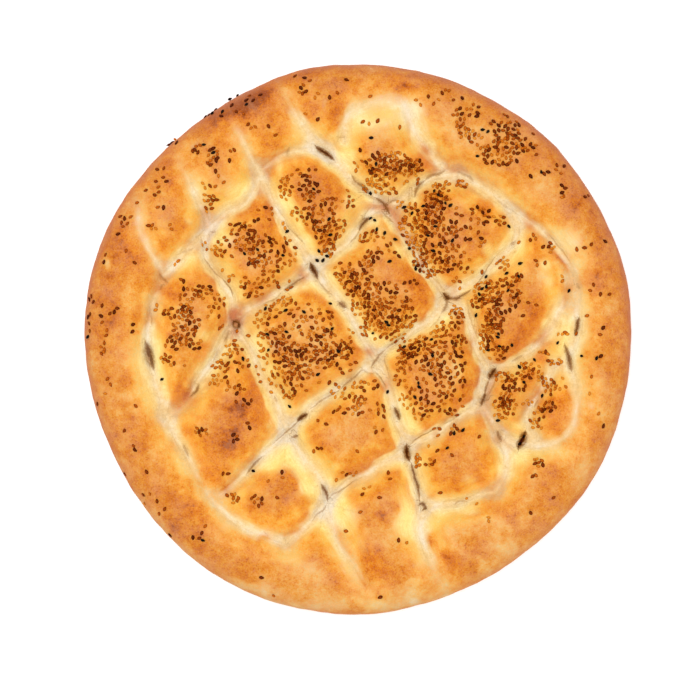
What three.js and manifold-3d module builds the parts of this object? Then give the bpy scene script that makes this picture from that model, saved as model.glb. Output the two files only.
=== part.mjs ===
// A round, lattice-pressed flatbread with sesame and black cumin seeds. Sizes are in millimetres.
// It lies on its flat underside in the plane z = 0, with its middle over the origin and +Y at the
// top of the view from above.
import * as THREE from "three";
import { mergeVertices } from "three/addons/utils/BufferGeometryUtils.js";
import Module from "manifold-3d";

const wasm = await Module();
wasm.setup();

// The loaf as a whole
const RADIUS = 139.6; // mean radius of the outline
const WIDEST_HEIGHT = 9; // height at which the edge bulges out furthest
const RIM_HEIGHT = 25; // top of the raised rim
const RIM_INSET = 21; // from the outline in to the top of the rim
const FOOT_INSET = 12; // from the outline in to where the underside leaves the table
const PILLOW_HEIGHT = 22; // level of the pillows inside the rim
const RIM_SLOPE = 34; // reach of the rim's slope down to the pillows

// The outline's waves: how many go round, their height, and the bearing of one crest in degrees
const OUTLINE_WAVES = [
  [2, 0.7, 53],
  [3, 0.4, 30],
  [4, 0.7, -13],
  [5, 0.5, 28],
  [6, 0.3, -20],
];

// The uneven rise of the dough, as waves across it: bearing in degrees, length, height and start
const RISE_WAVES = [
  [20, 190, 0.5, 1.3],
  [75, 150, 0.45, 0.4],
  [130, 105, 0.4, 2.1],
];

// The pressed grooves
const GROOVE_REACH = 15; // from a groove's middle to the level top of a pillow
const GROOVE_DEPTH = 7;
const CREASE_DEPTH = 2.5; // the sharp fold along a groove's middle
const CREASE_REACH = 2.2;
const CROSSING_POWER = 4; // the higher, the less two crossing grooves add up
const GROOVE_STEPS = 5; // straight steps between two points of a groove
const GROOVE_TENSION = 0.5; // tension of the curve through a groove's points
const FADE_START = 96; // grooves grow shallow between these two radii
const FADE_END = 132;
const FADE_KEEP = 0.3;

// Where the fingers pressed, as points along the middle of each groove
const GROOVES = [
  // left side, from the rim at the upper left down to the lower left
  [[-114, 70], [-109, 50], [-100, 32], [-106, 11], [-106, -11], [-99, -36], [-88, -58], [-74, -82],
    [-55, -97], [-36, -103]],
  // four long grooves that fall from upper left to lower right
  [[-92, 92], [-85, 79], [-78, 62], [-77, 40], [-65, 22], [-62, 8], [-54, -8], [-43, -31], [-33, -52],
    [-18, -74], [-14, -93], [5, -125]],
  [[-63, 108], [-51, 85], [-40, 65], [-23, 36], [-7, 17], [7, -7], [15, -23], [25, -56], [33, -85],
    [33, -100], [43, -127]],
  [[-40, 132], [-30, 112], [-16, 95], [2, 78], [16, 67], [28, 45], [45, 21]],
  [[45, 21], [55, 13], [60, -4], [67, -18], [64, -32], [72, -49], [76, -65], [70, -78]],
  // round the top
  [[-49, 87], [-36, 95], [-16, 97]],
  [[-7, 102], [-3, 116], [21, 122], [29, 106], [42, 88]],
  // right side, from the top down to the lower right
  [[51, 85], [73, 71], [96, 52], [110, 32], [112, 7], [108, -11], [112, -33], [105, -51], [83, -53],
    [72, -49]],
  // five grooves that rise from lower left to upper right
  [[-100, 32], [-88, 45], [-69, 63], [-55, 72], [-50, 85]],
  [[-98, -40], [-84, -27], [-62, 8], [-40, 24], [-23, 36], [-4, 51], [7, 64], [19, 68], [32, 79], [51, 85]],
  [[-69, -79], [-54, -65], [-28, -39], [-1, -18], [14, -6], [40, 12], [45, 21], [65, 34], [80, 49], [80, 65]],
  [[-36, -103], [-22, -90], [-4, -73], [25, -56], [50, -41], [64, -32], [67, -18], [88, -7], [100, 7],
    [110, 32]],
  [[100, -13], [93, -27], [87, -40], [91, -50]],
  // short groove at the bottom
  [[33, -85], [51, -83], [70, -78]],
];

// The mesh is made of rings round the middle, ring k with six times k corners
const RING_SECTORS = 6;
const TOP_RINGS = 23; // from the middle to the top of the rim
const SHOULDER_RINGS = 5; // from the top of the rim out to the widest line
const FOOT_RINGS = 3; // from the widest line in to the underside
const RING_COUNT = TOP_RINGS + SHOULDER_RINGS + FOOT_RINGS;
const SNAP_REACH = 2.1; // a corner this near to a groove's middle is moved onto it
const SNAP_LIMIT = 122; // no corner further out than this is moved

// Seeds: half sizes of a sesame seed, how far its middle stands proud, and the room round each one
const SEED_HALF_SIZE = [1.65, 1.05, 0.62];
const SEED_PROUD = 0.12;
const SEED_GAP = 4.2;
const SEED_DRAW = 11; // start of the seeded random draw
const SEED_TRIES = 30;
const GRAIN_SIDES = 6;
const GRAIN_BANDS = 2;
const DRAW_FACTOR = 16807;
const DRAW_LIMIT = 2147483647;

// Where seeds lie thick: middle x and y, half length, half width, turn in degrees, number of seeds
const SEED_PATCHES = [
  [-22, 60, 24, 8, -70, 11],
  [-55, 50, 20, 12, -55, 13],
  [-88, 18, 19, 11, 80, 11],
  [-30, -3, 25, 20, 0, 20],
  [8, 28, 25, 13, -50, 19],
  [38, 58, 24, 14, -60, 19],
  [34, -16, 22, 16, 30, 18],
  [68, 14, 20, 10, -80, 13],
  [20, 88, 18, 7, 0, 8],
  [73, 104, 22, 12, -35, 11],
  [0, -32, 18, 8, 20, 6],
  [75, -26, 14, 8, 60, 7],
  [99, -32, 15, 7, 60, 5],
  [-62, -17, 16, 12, 0, 5],
  [47, -52, 15, 8, 15, 3],
  [-76, 92, 15, 9, -60, 5],
];

const MERGE_DISTANCE = 1e-4;
const CRUST = new THREE.MeshStandardMaterial({ color: 0xd9964a, roughness: 0.75, metalness: 0 });

const smoothstep = (low, high, value) => THREE.MathUtils.smoothstep(value, low, high);

function outlineRadius(angle) {
  let radius = RADIUS;
  for (const [count, height, bearing] of OUTLINE_WAVES) {
    radius += height * Math.cos(count * (angle - THREE.MathUtils.degToRad(bearing)));
  }
  return radius;
}

const groovePaths = GROOVES.map((points) => {
  const corners = points.map(([x, y]) => new THREE.Vector3(x, y, 0));
  const curve = new THREE.CatmullRomCurve3(corners, false, "catmullrom", GROOVE_TENSION);
  return curve.getPoints((points.length - 1) * GROOVE_STEPS);
});

// The nearest point of one groove's middle line to a place on the loaf
function nearestOnPath(path, place) {
  const line = new THREE.Line3();
  const candidate = new THREE.Vector3();
  const best = { distance: Infinity, point: new THREE.Vector3() };
  for (let i = 1; i < path.length; i += 1) {
    line.set(path[i - 1], path[i]);
    line.closestPointToPoint(place, true, candidate);
    const distance = candidate.distanceTo(place);
    if (distance < best.distance) {
      best.distance = distance;
      best.point.copy(candidate);
    }
  }
  return best;
}

// Depth of the press at a place, where crossing grooves add up softly
function grooveDepth(x, y) {
  const place = new THREE.Vector3(x, y, 0);
  let valley = 0;
  let crease = 0;
  for (const path of groovePaths) {
    const { distance } = nearestOnPath(path, place);
    const across = Math.min(distance / GROOVE_REACH, 1);
    valley += ((1 + Math.cos(Math.PI * across)) / 2) ** CROSSING_POWER;
    crease = Math.max(crease, Math.exp(-((distance / CREASE_REACH) ** 2)));
  }
  const fade = 1 - (1 - FADE_KEEP) * smoothstep(FADE_START, FADE_END, Math.hypot(x, y));
  return fade * (GROOVE_DEPTH * valley ** (1 / CROSSING_POWER) + CREASE_DEPTH * crease);
}

function unevenRise(x, y) {
  let rise = 0;
  for (const [bearing, length, height, start] of RISE_WAVES) {
    const turn = THREE.MathUtils.degToRad(bearing);
    const along = x * Math.cos(turn) + y * Math.sin(turn);
    rise += height * Math.sin((2 * Math.PI * along) / length + start);
  }
  return rise;
}

// Height of the top surface, out to the outline
function topHeight(x, y) {
  const radius = Math.hypot(x, y);
  const outer = outlineRadius(Math.atan2(y, x));
  const crest = outer - RIM_INSET;
  if (radius <= crest) {
    const slope = smoothstep(crest - RIM_SLOPE, crest, radius);
    const level = PILLOW_HEIGHT + (RIM_HEIGHT - PILLOW_HEIGHT) * slope;
    return level + unevenRise(x, y) - grooveDepth(x, y);
  }
  const across = Math.min((radius - crest) / RIM_INSET, 1);
  const bend = Math.sqrt(1 - across * across);
  return WIDEST_HEIGHT + bend * (RIM_HEIGHT - WIDEST_HEIGHT + unevenRise(x, y) - grooveDepth(x, y));
}

// One corner of the mesh: ring number, and how far round the ring it is, from 0 to 1
function ringCorner(ring, share) {
  const angle = 2 * Math.PI * share;
  const outer = outlineRadius(angle);
  const crest = outer - RIM_INSET;
  const shoulder = ring - TOP_RINGS;
  if (shoulder > SHOULDER_RINGS) {
    const turn = ((shoulder - SHOULDER_RINGS) / FOOT_RINGS) * (Math.PI / 2);
    const radius = outer - FOOT_INSET * (1 - Math.cos(turn));
    return [radius * Math.cos(angle), radius * Math.sin(angle), WIDEST_HEIGHT * (1 - Math.sin(turn))];
  }
  const turn = (Math.max(shoulder, 0) / SHOULDER_RINGS) * (Math.PI / 2);
  const radius = (Math.min(ring, TOP_RINGS) / TOP_RINGS) * crest + RIM_INSET * Math.sin(turn);
  const place = new THREE.Vector3(radius * Math.cos(angle), radius * Math.sin(angle), 0);
  if (radius < SNAP_LIMIT) {
    for (const path of groovePaths) {
      const nearest = nearestOnPath(path, place);
      if (nearest.distance < SNAP_REACH) {
        place.copy(nearest.point);
        break;
      }
    }
  }
  return [place.x, place.y, topHeight(place.x, place.y)];
}

// The bread without its seeds, as corners and triangles
function breadMesh() {
  const corners = [[0, 0, topHeight(0, 0)]];
  const ringStart = [0];
  for (let ring = 1; ring <= RING_COUNT; ring += 1) {
    ringStart.push(corners.length);
    for (let i = 0; i < RING_SECTORS * ring; i += 1) {
      corners.push(ringCorner(ring, i / (RING_SECTORS * ring)));
    }
  }
  const cornerAt = (ring, i) => (ring === 0 ? 0 : ringStart[ring] + (i % (RING_SECTORS * ring)));

  const triangles = [];
  for (let ring = 1; ring <= RING_COUNT; ring += 1) {
    for (let sector = 0; sector < RING_SECTORS; sector += 1) {
      for (let i = 0; i < ring; i += 1) {
        const outside = sector * ring + i;
        const inside = sector * (ring - 1) + i;
        triangles.push([cornerAt(ring, outside), cornerAt(ring, outside + 1), cornerAt(ring - 1, inside)]);
        if (i < ring - 1) {
          triangles.push([
            cornerAt(ring - 1, inside),
            cornerAt(ring, outside + 1),
            cornerAt(ring - 1, inside + 1),
          ]);
        }
      }
    }
  }

  // The flat underside, as a fan round its middle
  const middle = corners.length;
  corners.push([0, 0, 0]);
  for (let i = 0; i < RING_SECTORS * RING_COUNT; i += 1) {
    triangles.push([middle, cornerAt(RING_COUNT, i + 1), cornerAt(RING_COUNT, i)]);
  }
  return { corners, triangles };
}

function solidFrom(positions, indices) {
  return new wasm.Manifold(
    new wasm.Mesh({
      numProp: 3,
      vertProperties: Float32Array.from(positions),
      triVerts: Uint32Array.from(indices),
    }),
  );
}

// Height and slope of the faceted surface itself, so that every seed sits on a facet
function facetUnder(bread, x, y) {
  const triangle = new THREE.Triangle();
  const weights = new THREE.Vector3();
  const place = new THREE.Vector3(x, y, 0);
  for (const [a, b, c] of bread.triangles) {
    const [pa, pb, pc] = [bread.corners[a], bread.corners[b], bread.corners[c]];
    triangle.a.set(pa[0], pa[1], 0);
    triangle.b.set(pb[0], pb[1], 0);
    triangle.c.set(pc[0], pc[1], 0);
    const inside = triangle.getBarycoord(place, weights);
    const smallest = inside ? Math.min(weights.x, weights.y, weights.z) : -1;
    const height = weights.x * pa[2] + weights.y * pb[2] + weights.z * pc[2];
    if (smallest >= 0 && height > WIDEST_HEIGHT) {
      triangle.a.z = pa[2];
      triangle.b.z = pb[2];
      triangle.c.z = pc[2];
      return { height, normal: triangle.getNormal(new THREE.Vector3()) };
    }
  }
  return null;
}

// A random draw that gives the same numbers every time
function seededDraw(start) {
  let state = start;
  return () => {
    state = (state * DRAW_FACTOR) % DRAW_LIMIT;
    return state / DRAW_LIMIT;
  };
}

// Places for the seeds, none nearer to another than the gap
function seedPlaces() {
  const draw = seededDraw(SEED_DRAW);
  const places = [];
  for (const [x, y, halfLength, halfWidth, turnDegrees, count] of SEED_PATCHES) {
    const turn = THREE.MathUtils.degToRad(turnDegrees);
    let left = count;
    for (let tries = 0; tries < SEED_TRIES * count && left > 0; tries += 1) {
      const reach = Math.sqrt(draw());
      const bearing = 2 * Math.PI * draw();
      const along = halfLength * reach * Math.cos(bearing);
      const aside = halfWidth * reach * Math.sin(bearing);
      const seed = {
        x: x + along * Math.cos(turn) - aside * Math.sin(turn),
        y: y + along * Math.sin(turn) + aside * Math.cos(turn),
        turn: Math.PI * draw(),
      };
      const free = places.every((other) => Math.hypot(seed.x - other.x, seed.y - other.y) > SEED_GAP);
      if (free) {
        places.push(seed);
        left -= 1;
      }
    }
  }
  return places;
}

// All the seeds as one mesh of separate grains, each lying on its facet
function seedsMesh(bread) {
  const ball = new THREE.SphereGeometry(1, GRAIN_SIDES, GRAIN_BANDS);
  ball.rotateX(Math.PI / 2);
  ball.deleteAttribute("normal");
  ball.deleteAttribute("uv");
  const grain = mergeVertices(ball, MERGE_DISTANCE);
  const up = new THREE.Vector3(0, 0, 1);
  const positions = [];
  const indices = [];
  for (const place of seedPlaces()) {
    const { height, normal } = facetUnder(bread, place.x, place.y);
    const tilt = new THREE.Quaternion().setFromUnitVectors(up, normal);
    const spin = new THREE.Quaternion().setFromAxisAngle(up, place.turn);
    const middle = new THREE.Vector3(place.x, place.y, height).addScaledVector(normal, SEED_PROUD);
    const pose = new THREE.Matrix4().compose(middle, tilt.multiply(spin), new THREE.Vector3(...SEED_HALF_SIZE));
    const seed = grain.clone().applyMatrix4(pose);
    const first = positions.length / 3;
    positions.push(...seed.attributes.position.array);
    indices.push(...Array.from(seed.index.array, (corner) => corner + first));
  }
  return { positions, indices };
}

function meshFrom(name, solid, material) {
  const { vertProperties, triVerts } = solid.getMesh();
  const geometry = new THREE.BufferGeometry();
  geometry.setAttribute("position", new THREE.BufferAttribute(vertProperties, 3));
  geometry.setIndex(new THREE.BufferAttribute(triVerts, 1));
  const mesh = new THREE.Mesh(geometry, material);
  mesh.name = name;
  return mesh;
}

const bread = breadMesh();
const seeds = seedsMesh(bread);
const plainBread = solidFrom(bread.corners.flat(), bread.triangles.flat());
const seededBread = plainBread.add(solidFrom(seeds.positions, seeds.indices));

const pita = new THREE.Group();
pita.add(meshFrom("pita_bread", seededBread, CRUST));

export default pita;
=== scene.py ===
import math

import bpy
import numpy as np
from mathutils import Matrix, Vector


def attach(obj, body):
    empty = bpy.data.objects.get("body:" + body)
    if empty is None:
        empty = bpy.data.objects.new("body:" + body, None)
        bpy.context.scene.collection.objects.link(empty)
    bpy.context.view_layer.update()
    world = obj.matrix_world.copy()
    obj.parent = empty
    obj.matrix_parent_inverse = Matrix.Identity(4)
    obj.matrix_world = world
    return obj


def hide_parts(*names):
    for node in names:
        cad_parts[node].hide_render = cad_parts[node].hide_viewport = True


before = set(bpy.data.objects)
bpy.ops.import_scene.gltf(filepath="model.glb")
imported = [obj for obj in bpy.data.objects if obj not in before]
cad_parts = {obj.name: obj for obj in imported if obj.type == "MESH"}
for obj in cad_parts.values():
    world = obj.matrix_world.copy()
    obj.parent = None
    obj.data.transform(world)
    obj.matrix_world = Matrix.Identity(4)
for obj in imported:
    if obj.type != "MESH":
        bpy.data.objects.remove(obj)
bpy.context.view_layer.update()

MM = 0.001

# The loaf as a whole, with the part's own sizes
RADIUS = 139.6
WIDEST_HEIGHT = 9
RIM_HEIGHT = 25
RIM_INSET = 21
FOOT_INSET = 12
PILLOW_HEIGHT = 22
RIM_SLOPE = 34

# The outline's waves: how many go round, their height, and the bearing of one crest in degrees
OUTLINE_WAVES = [
    (2, 0.7, 53), (3, 0.4, 30), (4, 0.7, -13), (5, 0.5, 28), (6, 0.3, -20),
]

# Where the outline swells or draws in beyond those waves: bearing and spread in degrees, height
SWELLS = [
    (12, 12, 1.5), (48, 11, 1.0), (72, 11, 0.7), (100, 8, 0.8), (168, 14, -0.4), (200, 30, -0.4),
    (274, 8, 0.7), (300, 13, 0.6), (327, 13, 1.3), (352, 9, 0.6),
]

# Layers of soft noise: height, size of the lumps and number of the noise
EDGE_NOISE = [(0.25, 8, 51), (0.12, 3.5, 52)]
DOUGH_WIDTH_NOISE = [(1.1, 7, 13), (0.6, 3, 14)]
LUMP_NOISE = [(0.45, 19, 21), (0.22, 8, 22), (0.10, 3.6, 23)]
BROWNING_NOISE = [(0.04, 16, 33), (0.06, 6, 34), (0.05, 2.8, 35)]
UNDERSIDE_NOISE = [(0.10, 9, 41)]
NOISE_CELLS = 97
NOISE_START = (400.37, 400.71)

# How places waver before they are measured, so that nothing runs quite smoothly: amount, size of the
# waves and number of the noise
GROOVE_WAVER = (1.1, 11, 3)
FOLD_WAVER = (0.45, 4, 11)
PATCH_WAVER = (3.0, 12, 31)

# The uneven rise of the dough, as waves across it: bearing in degrees, length, height and start
RISE_WAVES = [
    (20, 190, 0.5, 1.3), (75, 150, 0.45, 0.4), (130, 105, 0.4, 2.1),
]

# The pressed grooves
GROOVE_REACH = 15
GROOVE_DEPTH = 7
CREASE_DEPTH = 2.5
CREASE_REACH = 1.6
CROSSING_POWER = 4
GROOVE_STEPS = 5
GROOVE_TENSION = 0.5
FADE_RADII = (96, 132)
FADE_KEEP = 0.3

# How fully the crease shows, with how far that swings, the lip beside it and the wrinkles along it
CREASE_SHARE = (0.45, 0.4)
LIP_PLACE = 4.2
LIP_WIDTH = 1.6
LIP_HEIGHT = 0.35
WRINKLE_RATE = 2.4
WRINKLE_REACH = 6
WRINKLE_HEIGHT = 0.10
WRINKLE_BEND = 2

# Noises that vary these: size of the lumps and number of the noise
CREASE_NOISE = (14, 5)
LIP_NOISE = (9, 6)
WRINKLE_BEND_NOISE = (10, 7)
WRINKLE_NOISE = (6, 8)

# A distance to start from when the nearest thing is looked for
FAR_AWAY = 1e9

# Where the fingers pressed, as points along the middle of each groove
GROOVES = [
    # left side, from the rim at the upper left down to the lower left
    [(-114, 70), (-109, 50), (-100, 32), (-106, 11), (-106, -11), (-99, -36), (-88, -58), (-74, -82),
     (-55, -97), (-36, -103)],
    # four long grooves that fall from upper left to lower right
    [(-92, 92), (-85, 79), (-78, 62), (-77, 40), (-65, 22), (-62, 8), (-54, -8), (-43, -31), (-33, -52),
     (-18, -74), (-14, -93), (5, -125)],
    [(-63, 108), (-51, 85), (-40, 65), (-23, 36), (-7, 17), (7, -7), (15, -23), (25, -56), (33, -85),
     (33, -100), (43, -127)],
    [(-40, 132), (-30, 112), (-16, 95), (2, 78), (16, 67), (28, 45), (45, 21)],
    [(45, 21), (55, 13), (60, -4), (67, -18), (64, -32), (72, -49), (76, -65), (70, -78)],
    # round the top
    [(-49, 87), (-36, 95), (-16, 97)],
    [(-7, 102), (-3, 116), (21, 122), (29, 106), (42, 88)],
    # right side, from the top down to the lower right
    [(51, 85), (73, 71), (96, 52), (110, 32), (112, 7), (108, -11), (112, -33), (105, -51), (83, -53),
     (72, -49)],
    # five grooves that rise from lower left to upper right
    [(-100, 32), (-88, 45), (-69, 63), (-55, 72), (-50, 85)],
    [(-98, -40), (-84, -27), (-62, 8), (-40, 24), (-23, 36), (-4, 51), (7, 64), (19, 68), (32, 79),
     (51, 85)],
    [(-69, -79), (-54, -65), (-28, -39), (-1, -18), (14, -6), (40, 12), (45, 21), (65, 34), (80, 49),
     (80, 65)],
    [(-36, -103), (-22, -90), (-4, -73), (25, -56), (50, -41), (64, -32), (67, -18), (88, -7), (100, 7),
     (110, 32)],
    [(100, -13), (93, -27), (87, -40), (91, -50)],
    # short groove at the bottom
    [(33, -85), (51, -83), (70, -78)],
]

# Half width of the pale dough at each of those points, below zero where the crust closes over it
PALE_WIDTHS = [
    (1.6, 2.2, 1.2, 2.2, 6.0, 4.6, 2.8, -0.6, 3.2, 2.4),
    (1.4, 2.4, 4.0, 2.4, 4.2, 4.6, 4.2, 4.4, 5.6, 4.8, 5.6, 0.2),
    (1.4, 3.2, 3.4, 4.6, 4.0, 4.4, 2.8, 5.0, 4.4, 4.6, 1.0),
    (1.4, 3.4, 5.0, 4.2, 5.4, 4.2, 4.0),
    (4.0, 3.0, 3.0, 3.4, 3.4, 4.0, 5.0, 1.8),
    (0.6, 1.2, 4.6),
    (4.0, 3.4, 3.0, 4.6, 2.8),
    (3.2, 3.8, 0.9, 1.6, 5.4, 4.8, 2.2, 1.8, 5.4, 3.8),
    (1.8, 3.6, 3.4, 1.8, 2.4),
    (3.0, 3.0, 4.4, 2.6, 4.0, 3.4, 3.2, 3.4, 3.8, 3.2),
    (1.8, 3.2, 3.2, 3.0, 4.2, 4.0, 4.0, 4.0, 4.8, 3.8),
    (2.2, 4.4, 2.6, 3.4, 2.6, 3.2, 3.2, 2.6, 3.8, 3.8),
    (4.2, 1.8, 2.8, 4.8),
    (4.4, 3.8, 1.4),
]
PALE_EDGE = 2.6
PALE_END_RADII = (110, 131)
PALE_END_SHARE = 0.75
HALO_REACH = 7.5

# On which side of each groove the crust ends crisply: 1 for the left, going along it, and -1 for the
# right, 0 where both sides are alike
CRISP_SIDES = (0, -1, -1, -1, -1, 0, -1, -1, -1, 0, 0, 1, 0, 1)
CRISP_SHARE = 0.5
CRISP_START = 1.5
CRUST_LINE_REACH = 2.6
CRUST_LINE_WIDTH = 2.2
CRISP_RADII = (78, 98)

# Places read from the photo, in its pixels, are turned into millimetres on the loaf
PHOTO_SCALE = 0.51186
PHOTO_MIDDLE = (357.42, 339.06)

# How folds are drawn: how far off they are worked out, the finest shape, and how they narrow and fade
FOLD_MARGIN = 9
FOLD_LIMIT = 9
FINEST_FOLD = 1.0
FOLD_TAPER = 4.4
FOLD_END = 0.05
FOLD_TAPER_POWER = 0.75
FOLD_SHADE_REACH = (2.0, 5.0)
THIN_FOLD_SHADE = 0.72
THIN_TO_THICK_FOLD = (0.7, 1.5)

# Folds and holes in the grooves: half width, depth and darkness, then the photo's pixels along it; the
# darkness is partly their own browner colour and partly painted shade
FOLDS = [
    # top
    (1.3, 2.6, 0.95, [(315, 145), (322, 151), (328, 155), (335, 161)]),
    (0.8, 2.0, 0.70, [(350, 174), (357, 183), (365, 189), (374, 197)]),
    (0.9, 2.4, 0.80, [(374, 197), (382, 202), (387, 208), (391, 215)]),
    (0.7, 1.2, 0.45, [(380, 210), (388, 217), (394, 224)]),
    (0.6, 1.0, 0.45, [(400, 200), (393, 201), (386, 205)]),
    (0.9, 1.6, 0.60, [(445, 170), (438, 174), (431, 176), (424, 181)]),
    (0.9, 1.6, 0.65, [(426, 180), (419, 185), (415, 191), (414, 199)]),
    (0.7, 0.8, 0.30, [(410, 186), (409, 196), (409, 204)]),
    (0.5, 0.8, 0.35, [(347, 246), (355, 238), (360, 229)]),
    (1.0, 2.2, 0.90, [(358, 232), (362, 225), (367, 220), (374, 218)]),
    (0.8, 1.0, 0.40, [(456, 173), (463, 173), (470, 178), (475, 184)]),
    (0.8, 0.6, 0.25, [(493, 196), (503, 206), (511, 210), (519, 217)]),
    (0.6, 0.6, 0.30, [(337, 139), (345, 137)]), (0.9, 0.6, 0.30, [(290, 147), (287, 157)]),
    (0.5, 0.6, 0.25, [(345, 205), (358, 199), (366, 193)]),
    (0.5, 0.5, 0.25, [(372, 206), (366, 214), (362, 222)]),
    # upper left
    (1.6, 2.8, 0.90, [(310, 262), (312, 268), (315, 273), (318, 280)]),
    (0.6, 0.9, 0.40, [(318, 280), (325, 289), (333, 296)]),
    (0.8, 1.4, 0.70, [(284, 291), (291, 286), (298, 281), (306, 276)]),
    (0.5, 0.8, 0.35, [(262, 305), (272, 300), (284, 291)]),
    (0.6, 0.8, 0.35, [(284, 222), (291, 230), (298, 237), (305, 246)]),
    (0.5, 0.6, 0.25, [(276, 206), (282, 215), (287, 226)]),
    (1.3, 2.0, 0.65, [(339, 302), (343, 305), (347, 309)]),
    (0.5, 0.8, 0.45, [(204, 257), (210, 266), (217, 274), (224, 280)]),
    (0.5, 0.9, 0.60, [(221, 277), (227, 284), (231, 291), (234, 299)]),
    (2.1, 3.2, 0.90, [(233, 321), (237, 325), (240, 328)]),
    (0.9, 1.2, 0.45, [(230, 330), (227, 336), (223, 343)]),
    (0.7, 0.9, 0.30, [(220, 345), (217, 354), (212, 362)]),
    (1.0, 1.3, 0.65, [(200, 384), (196, 390), (190, 397)]),
    (0.7, 0.8, 0.30, [(201, 236), (203, 243), (205, 250)]), (0.7, 0.6, 0.35, [(209, 232), (217, 232)]),
    (0.7, 0.5, 0.25, [(180, 255), (188, 251), (194, 248)]),
    (0.9, 0.9, 0.45, [(160, 273), (163, 279), (168, 284)]), (0.8, 0.8, 0.35, [(163, 284), (160, 291)]),
    (0.6, 0.7, 0.25, [(151, 306), (152, 318), (152, 328)]),
    (2.0, 2.8, 0.75, [(145, 341), (149, 350), (151, 360), (155, 371)]),
    (0.9, 1.0, 0.40, [(183, 444), (187, 450), (190, 458)]), (0.5, 0.5, 0.20, [(264, 530), (270, 536)]),
    # middle and lower left
    (0.5, 0.9, 0.55, [(272, 445), (283, 435), (293, 425), (300, 419)]),
    (1.3, 2.4, 0.90, [(296, 421), (300, 418), (304, 415), (308, 413)]),
    (0.5, 0.9, 0.50, [(308, 411), (320, 402), (332, 394), (343, 386)]),
    (0.7, 1.1, 0.60, [(338, 390), (347, 383), (356, 376), (363, 368)]),
    (0.8, 1.4, 0.70, [(246, 475), (251, 468), (256, 462), (264, 456)]),
    (1.1, 1.6, 0.60, [(291, 439), (296, 436), (299, 434)]), (0.7, 0.6, 0.35, [(274, 395), (277, 403)]),
    (1.1, 2.2, 0.80, [(321, 483), (324, 489), (327, 495), (328, 501)]),
    (0.5, 0.8, 0.45, [(328, 501), (324, 509), (317, 514), (313, 521)]),
    (0.5, 0.8, 0.45, [(329, 499), (336, 492), (345, 486), (357, 478)]),
    (0.7, 1.2, 0.65, [(371, 369), (374, 362), (379, 355), (385, 350)]),
    (0.5, 0.8, 0.45, [(383, 352), (391, 345), (398, 340), (406, 336)]),
    (0.6, 0.9, 0.55, [(374, 371), (380, 378), (387, 386)]),
    (0.5, 0.6, 0.30, [(384, 356), (386, 368), (390, 380)]),
    (1.3, 2.4, 0.80, [(393, 406), (396, 411), (398, 416), (400, 421)]),
    (0.5, 0.7, 0.30, [(360, 366), (366, 372), (376, 374)]),
    # lower right
    (1.8, 3.0, 0.95, [(407, 443), (407, 450), (408, 456), (410, 461)]),
    (0.9, 2.2, 0.90, [(411, 461), (414, 472), (417, 486), (420, 501)]),
    (1.0, 1.8, 0.85, [(418, 505), (422, 503), (425, 508), (421, 511)]),
    (0.5, 0.8, 0.50, [(409, 446), (416, 439), (427, 433), (441, 426)]),
    (0.5, 0.6, 0.30, [(441, 426), (452, 420), (462, 413)]),
    (1.5, 2.6, 0.85, [(442, 293), (447, 297), (452, 299)]),
    (1.2, 2.0, 0.70, [(448, 298), (457, 298), (464, 295), (472, 290)]),
    (0.9, 1.6, 0.60, [(447, 298), (446, 305), (442, 314)]),
    (0.5, 0.8, 0.25, [(443, 312), (437, 322), (427, 331)]),
    (0.5, 0.8, 0.45, [(472, 290), (480, 280), (488, 268), (497, 255)]),
    (0.5, 0.6, 0.25, [(443, 291), (438, 284), (433, 278)]), (0.9, 0.8, 0.40, [(511, 247), (515, 241)]),
    (0.5, 0.7, 0.25, [(466, 296), (468, 312), (474, 330), (480, 345)]),
    (0.5, 0.6, 0.20, [(474, 312), (480, 334), (486, 352)]),
    (1.6, 2.6, 0.90, [(496, 368), (492, 373), (488, 381)]),
    (0.8, 1.6, 0.75, [(489, 379), (486, 388), (485, 394)]),
    (1.2, 2.2, 0.85, [(486, 390), (484, 398), (480, 406)]),
    (0.5, 0.6, 0.35, [(480, 406), (486, 398), (493, 386), (497, 374)]),
    (0.6, 0.8, 0.40, [(510, 362), (516, 359), (523, 355)]),
    (2.0, 3.6, 1.00, [(525, 431), (522, 440), (518, 450)]),
    (1.0, 1.6, 0.65, [(497, 430), (499, 436), (502, 442)]), (0.6, 0.7, 0.40, [(538, 399), (533, 407)]),
    (0.5, 0.5, 0.35, [(453, 505), (459, 501), (467, 500)]),
    # right side
    (1.3, 2.2, 0.80, [(579, 317), (577, 326), (574, 336)]),
    (1.4, 2.0, 0.70, [(564, 343), (567, 352), (569, 361), (571, 372)]),
    (0.9, 0.8, 0.35, [(575, 283), (578, 290)]),
    (0.6, 0.8, 0.35, [(548, 234), (556, 244), (563, 253), (571, 265)]),
]

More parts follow.
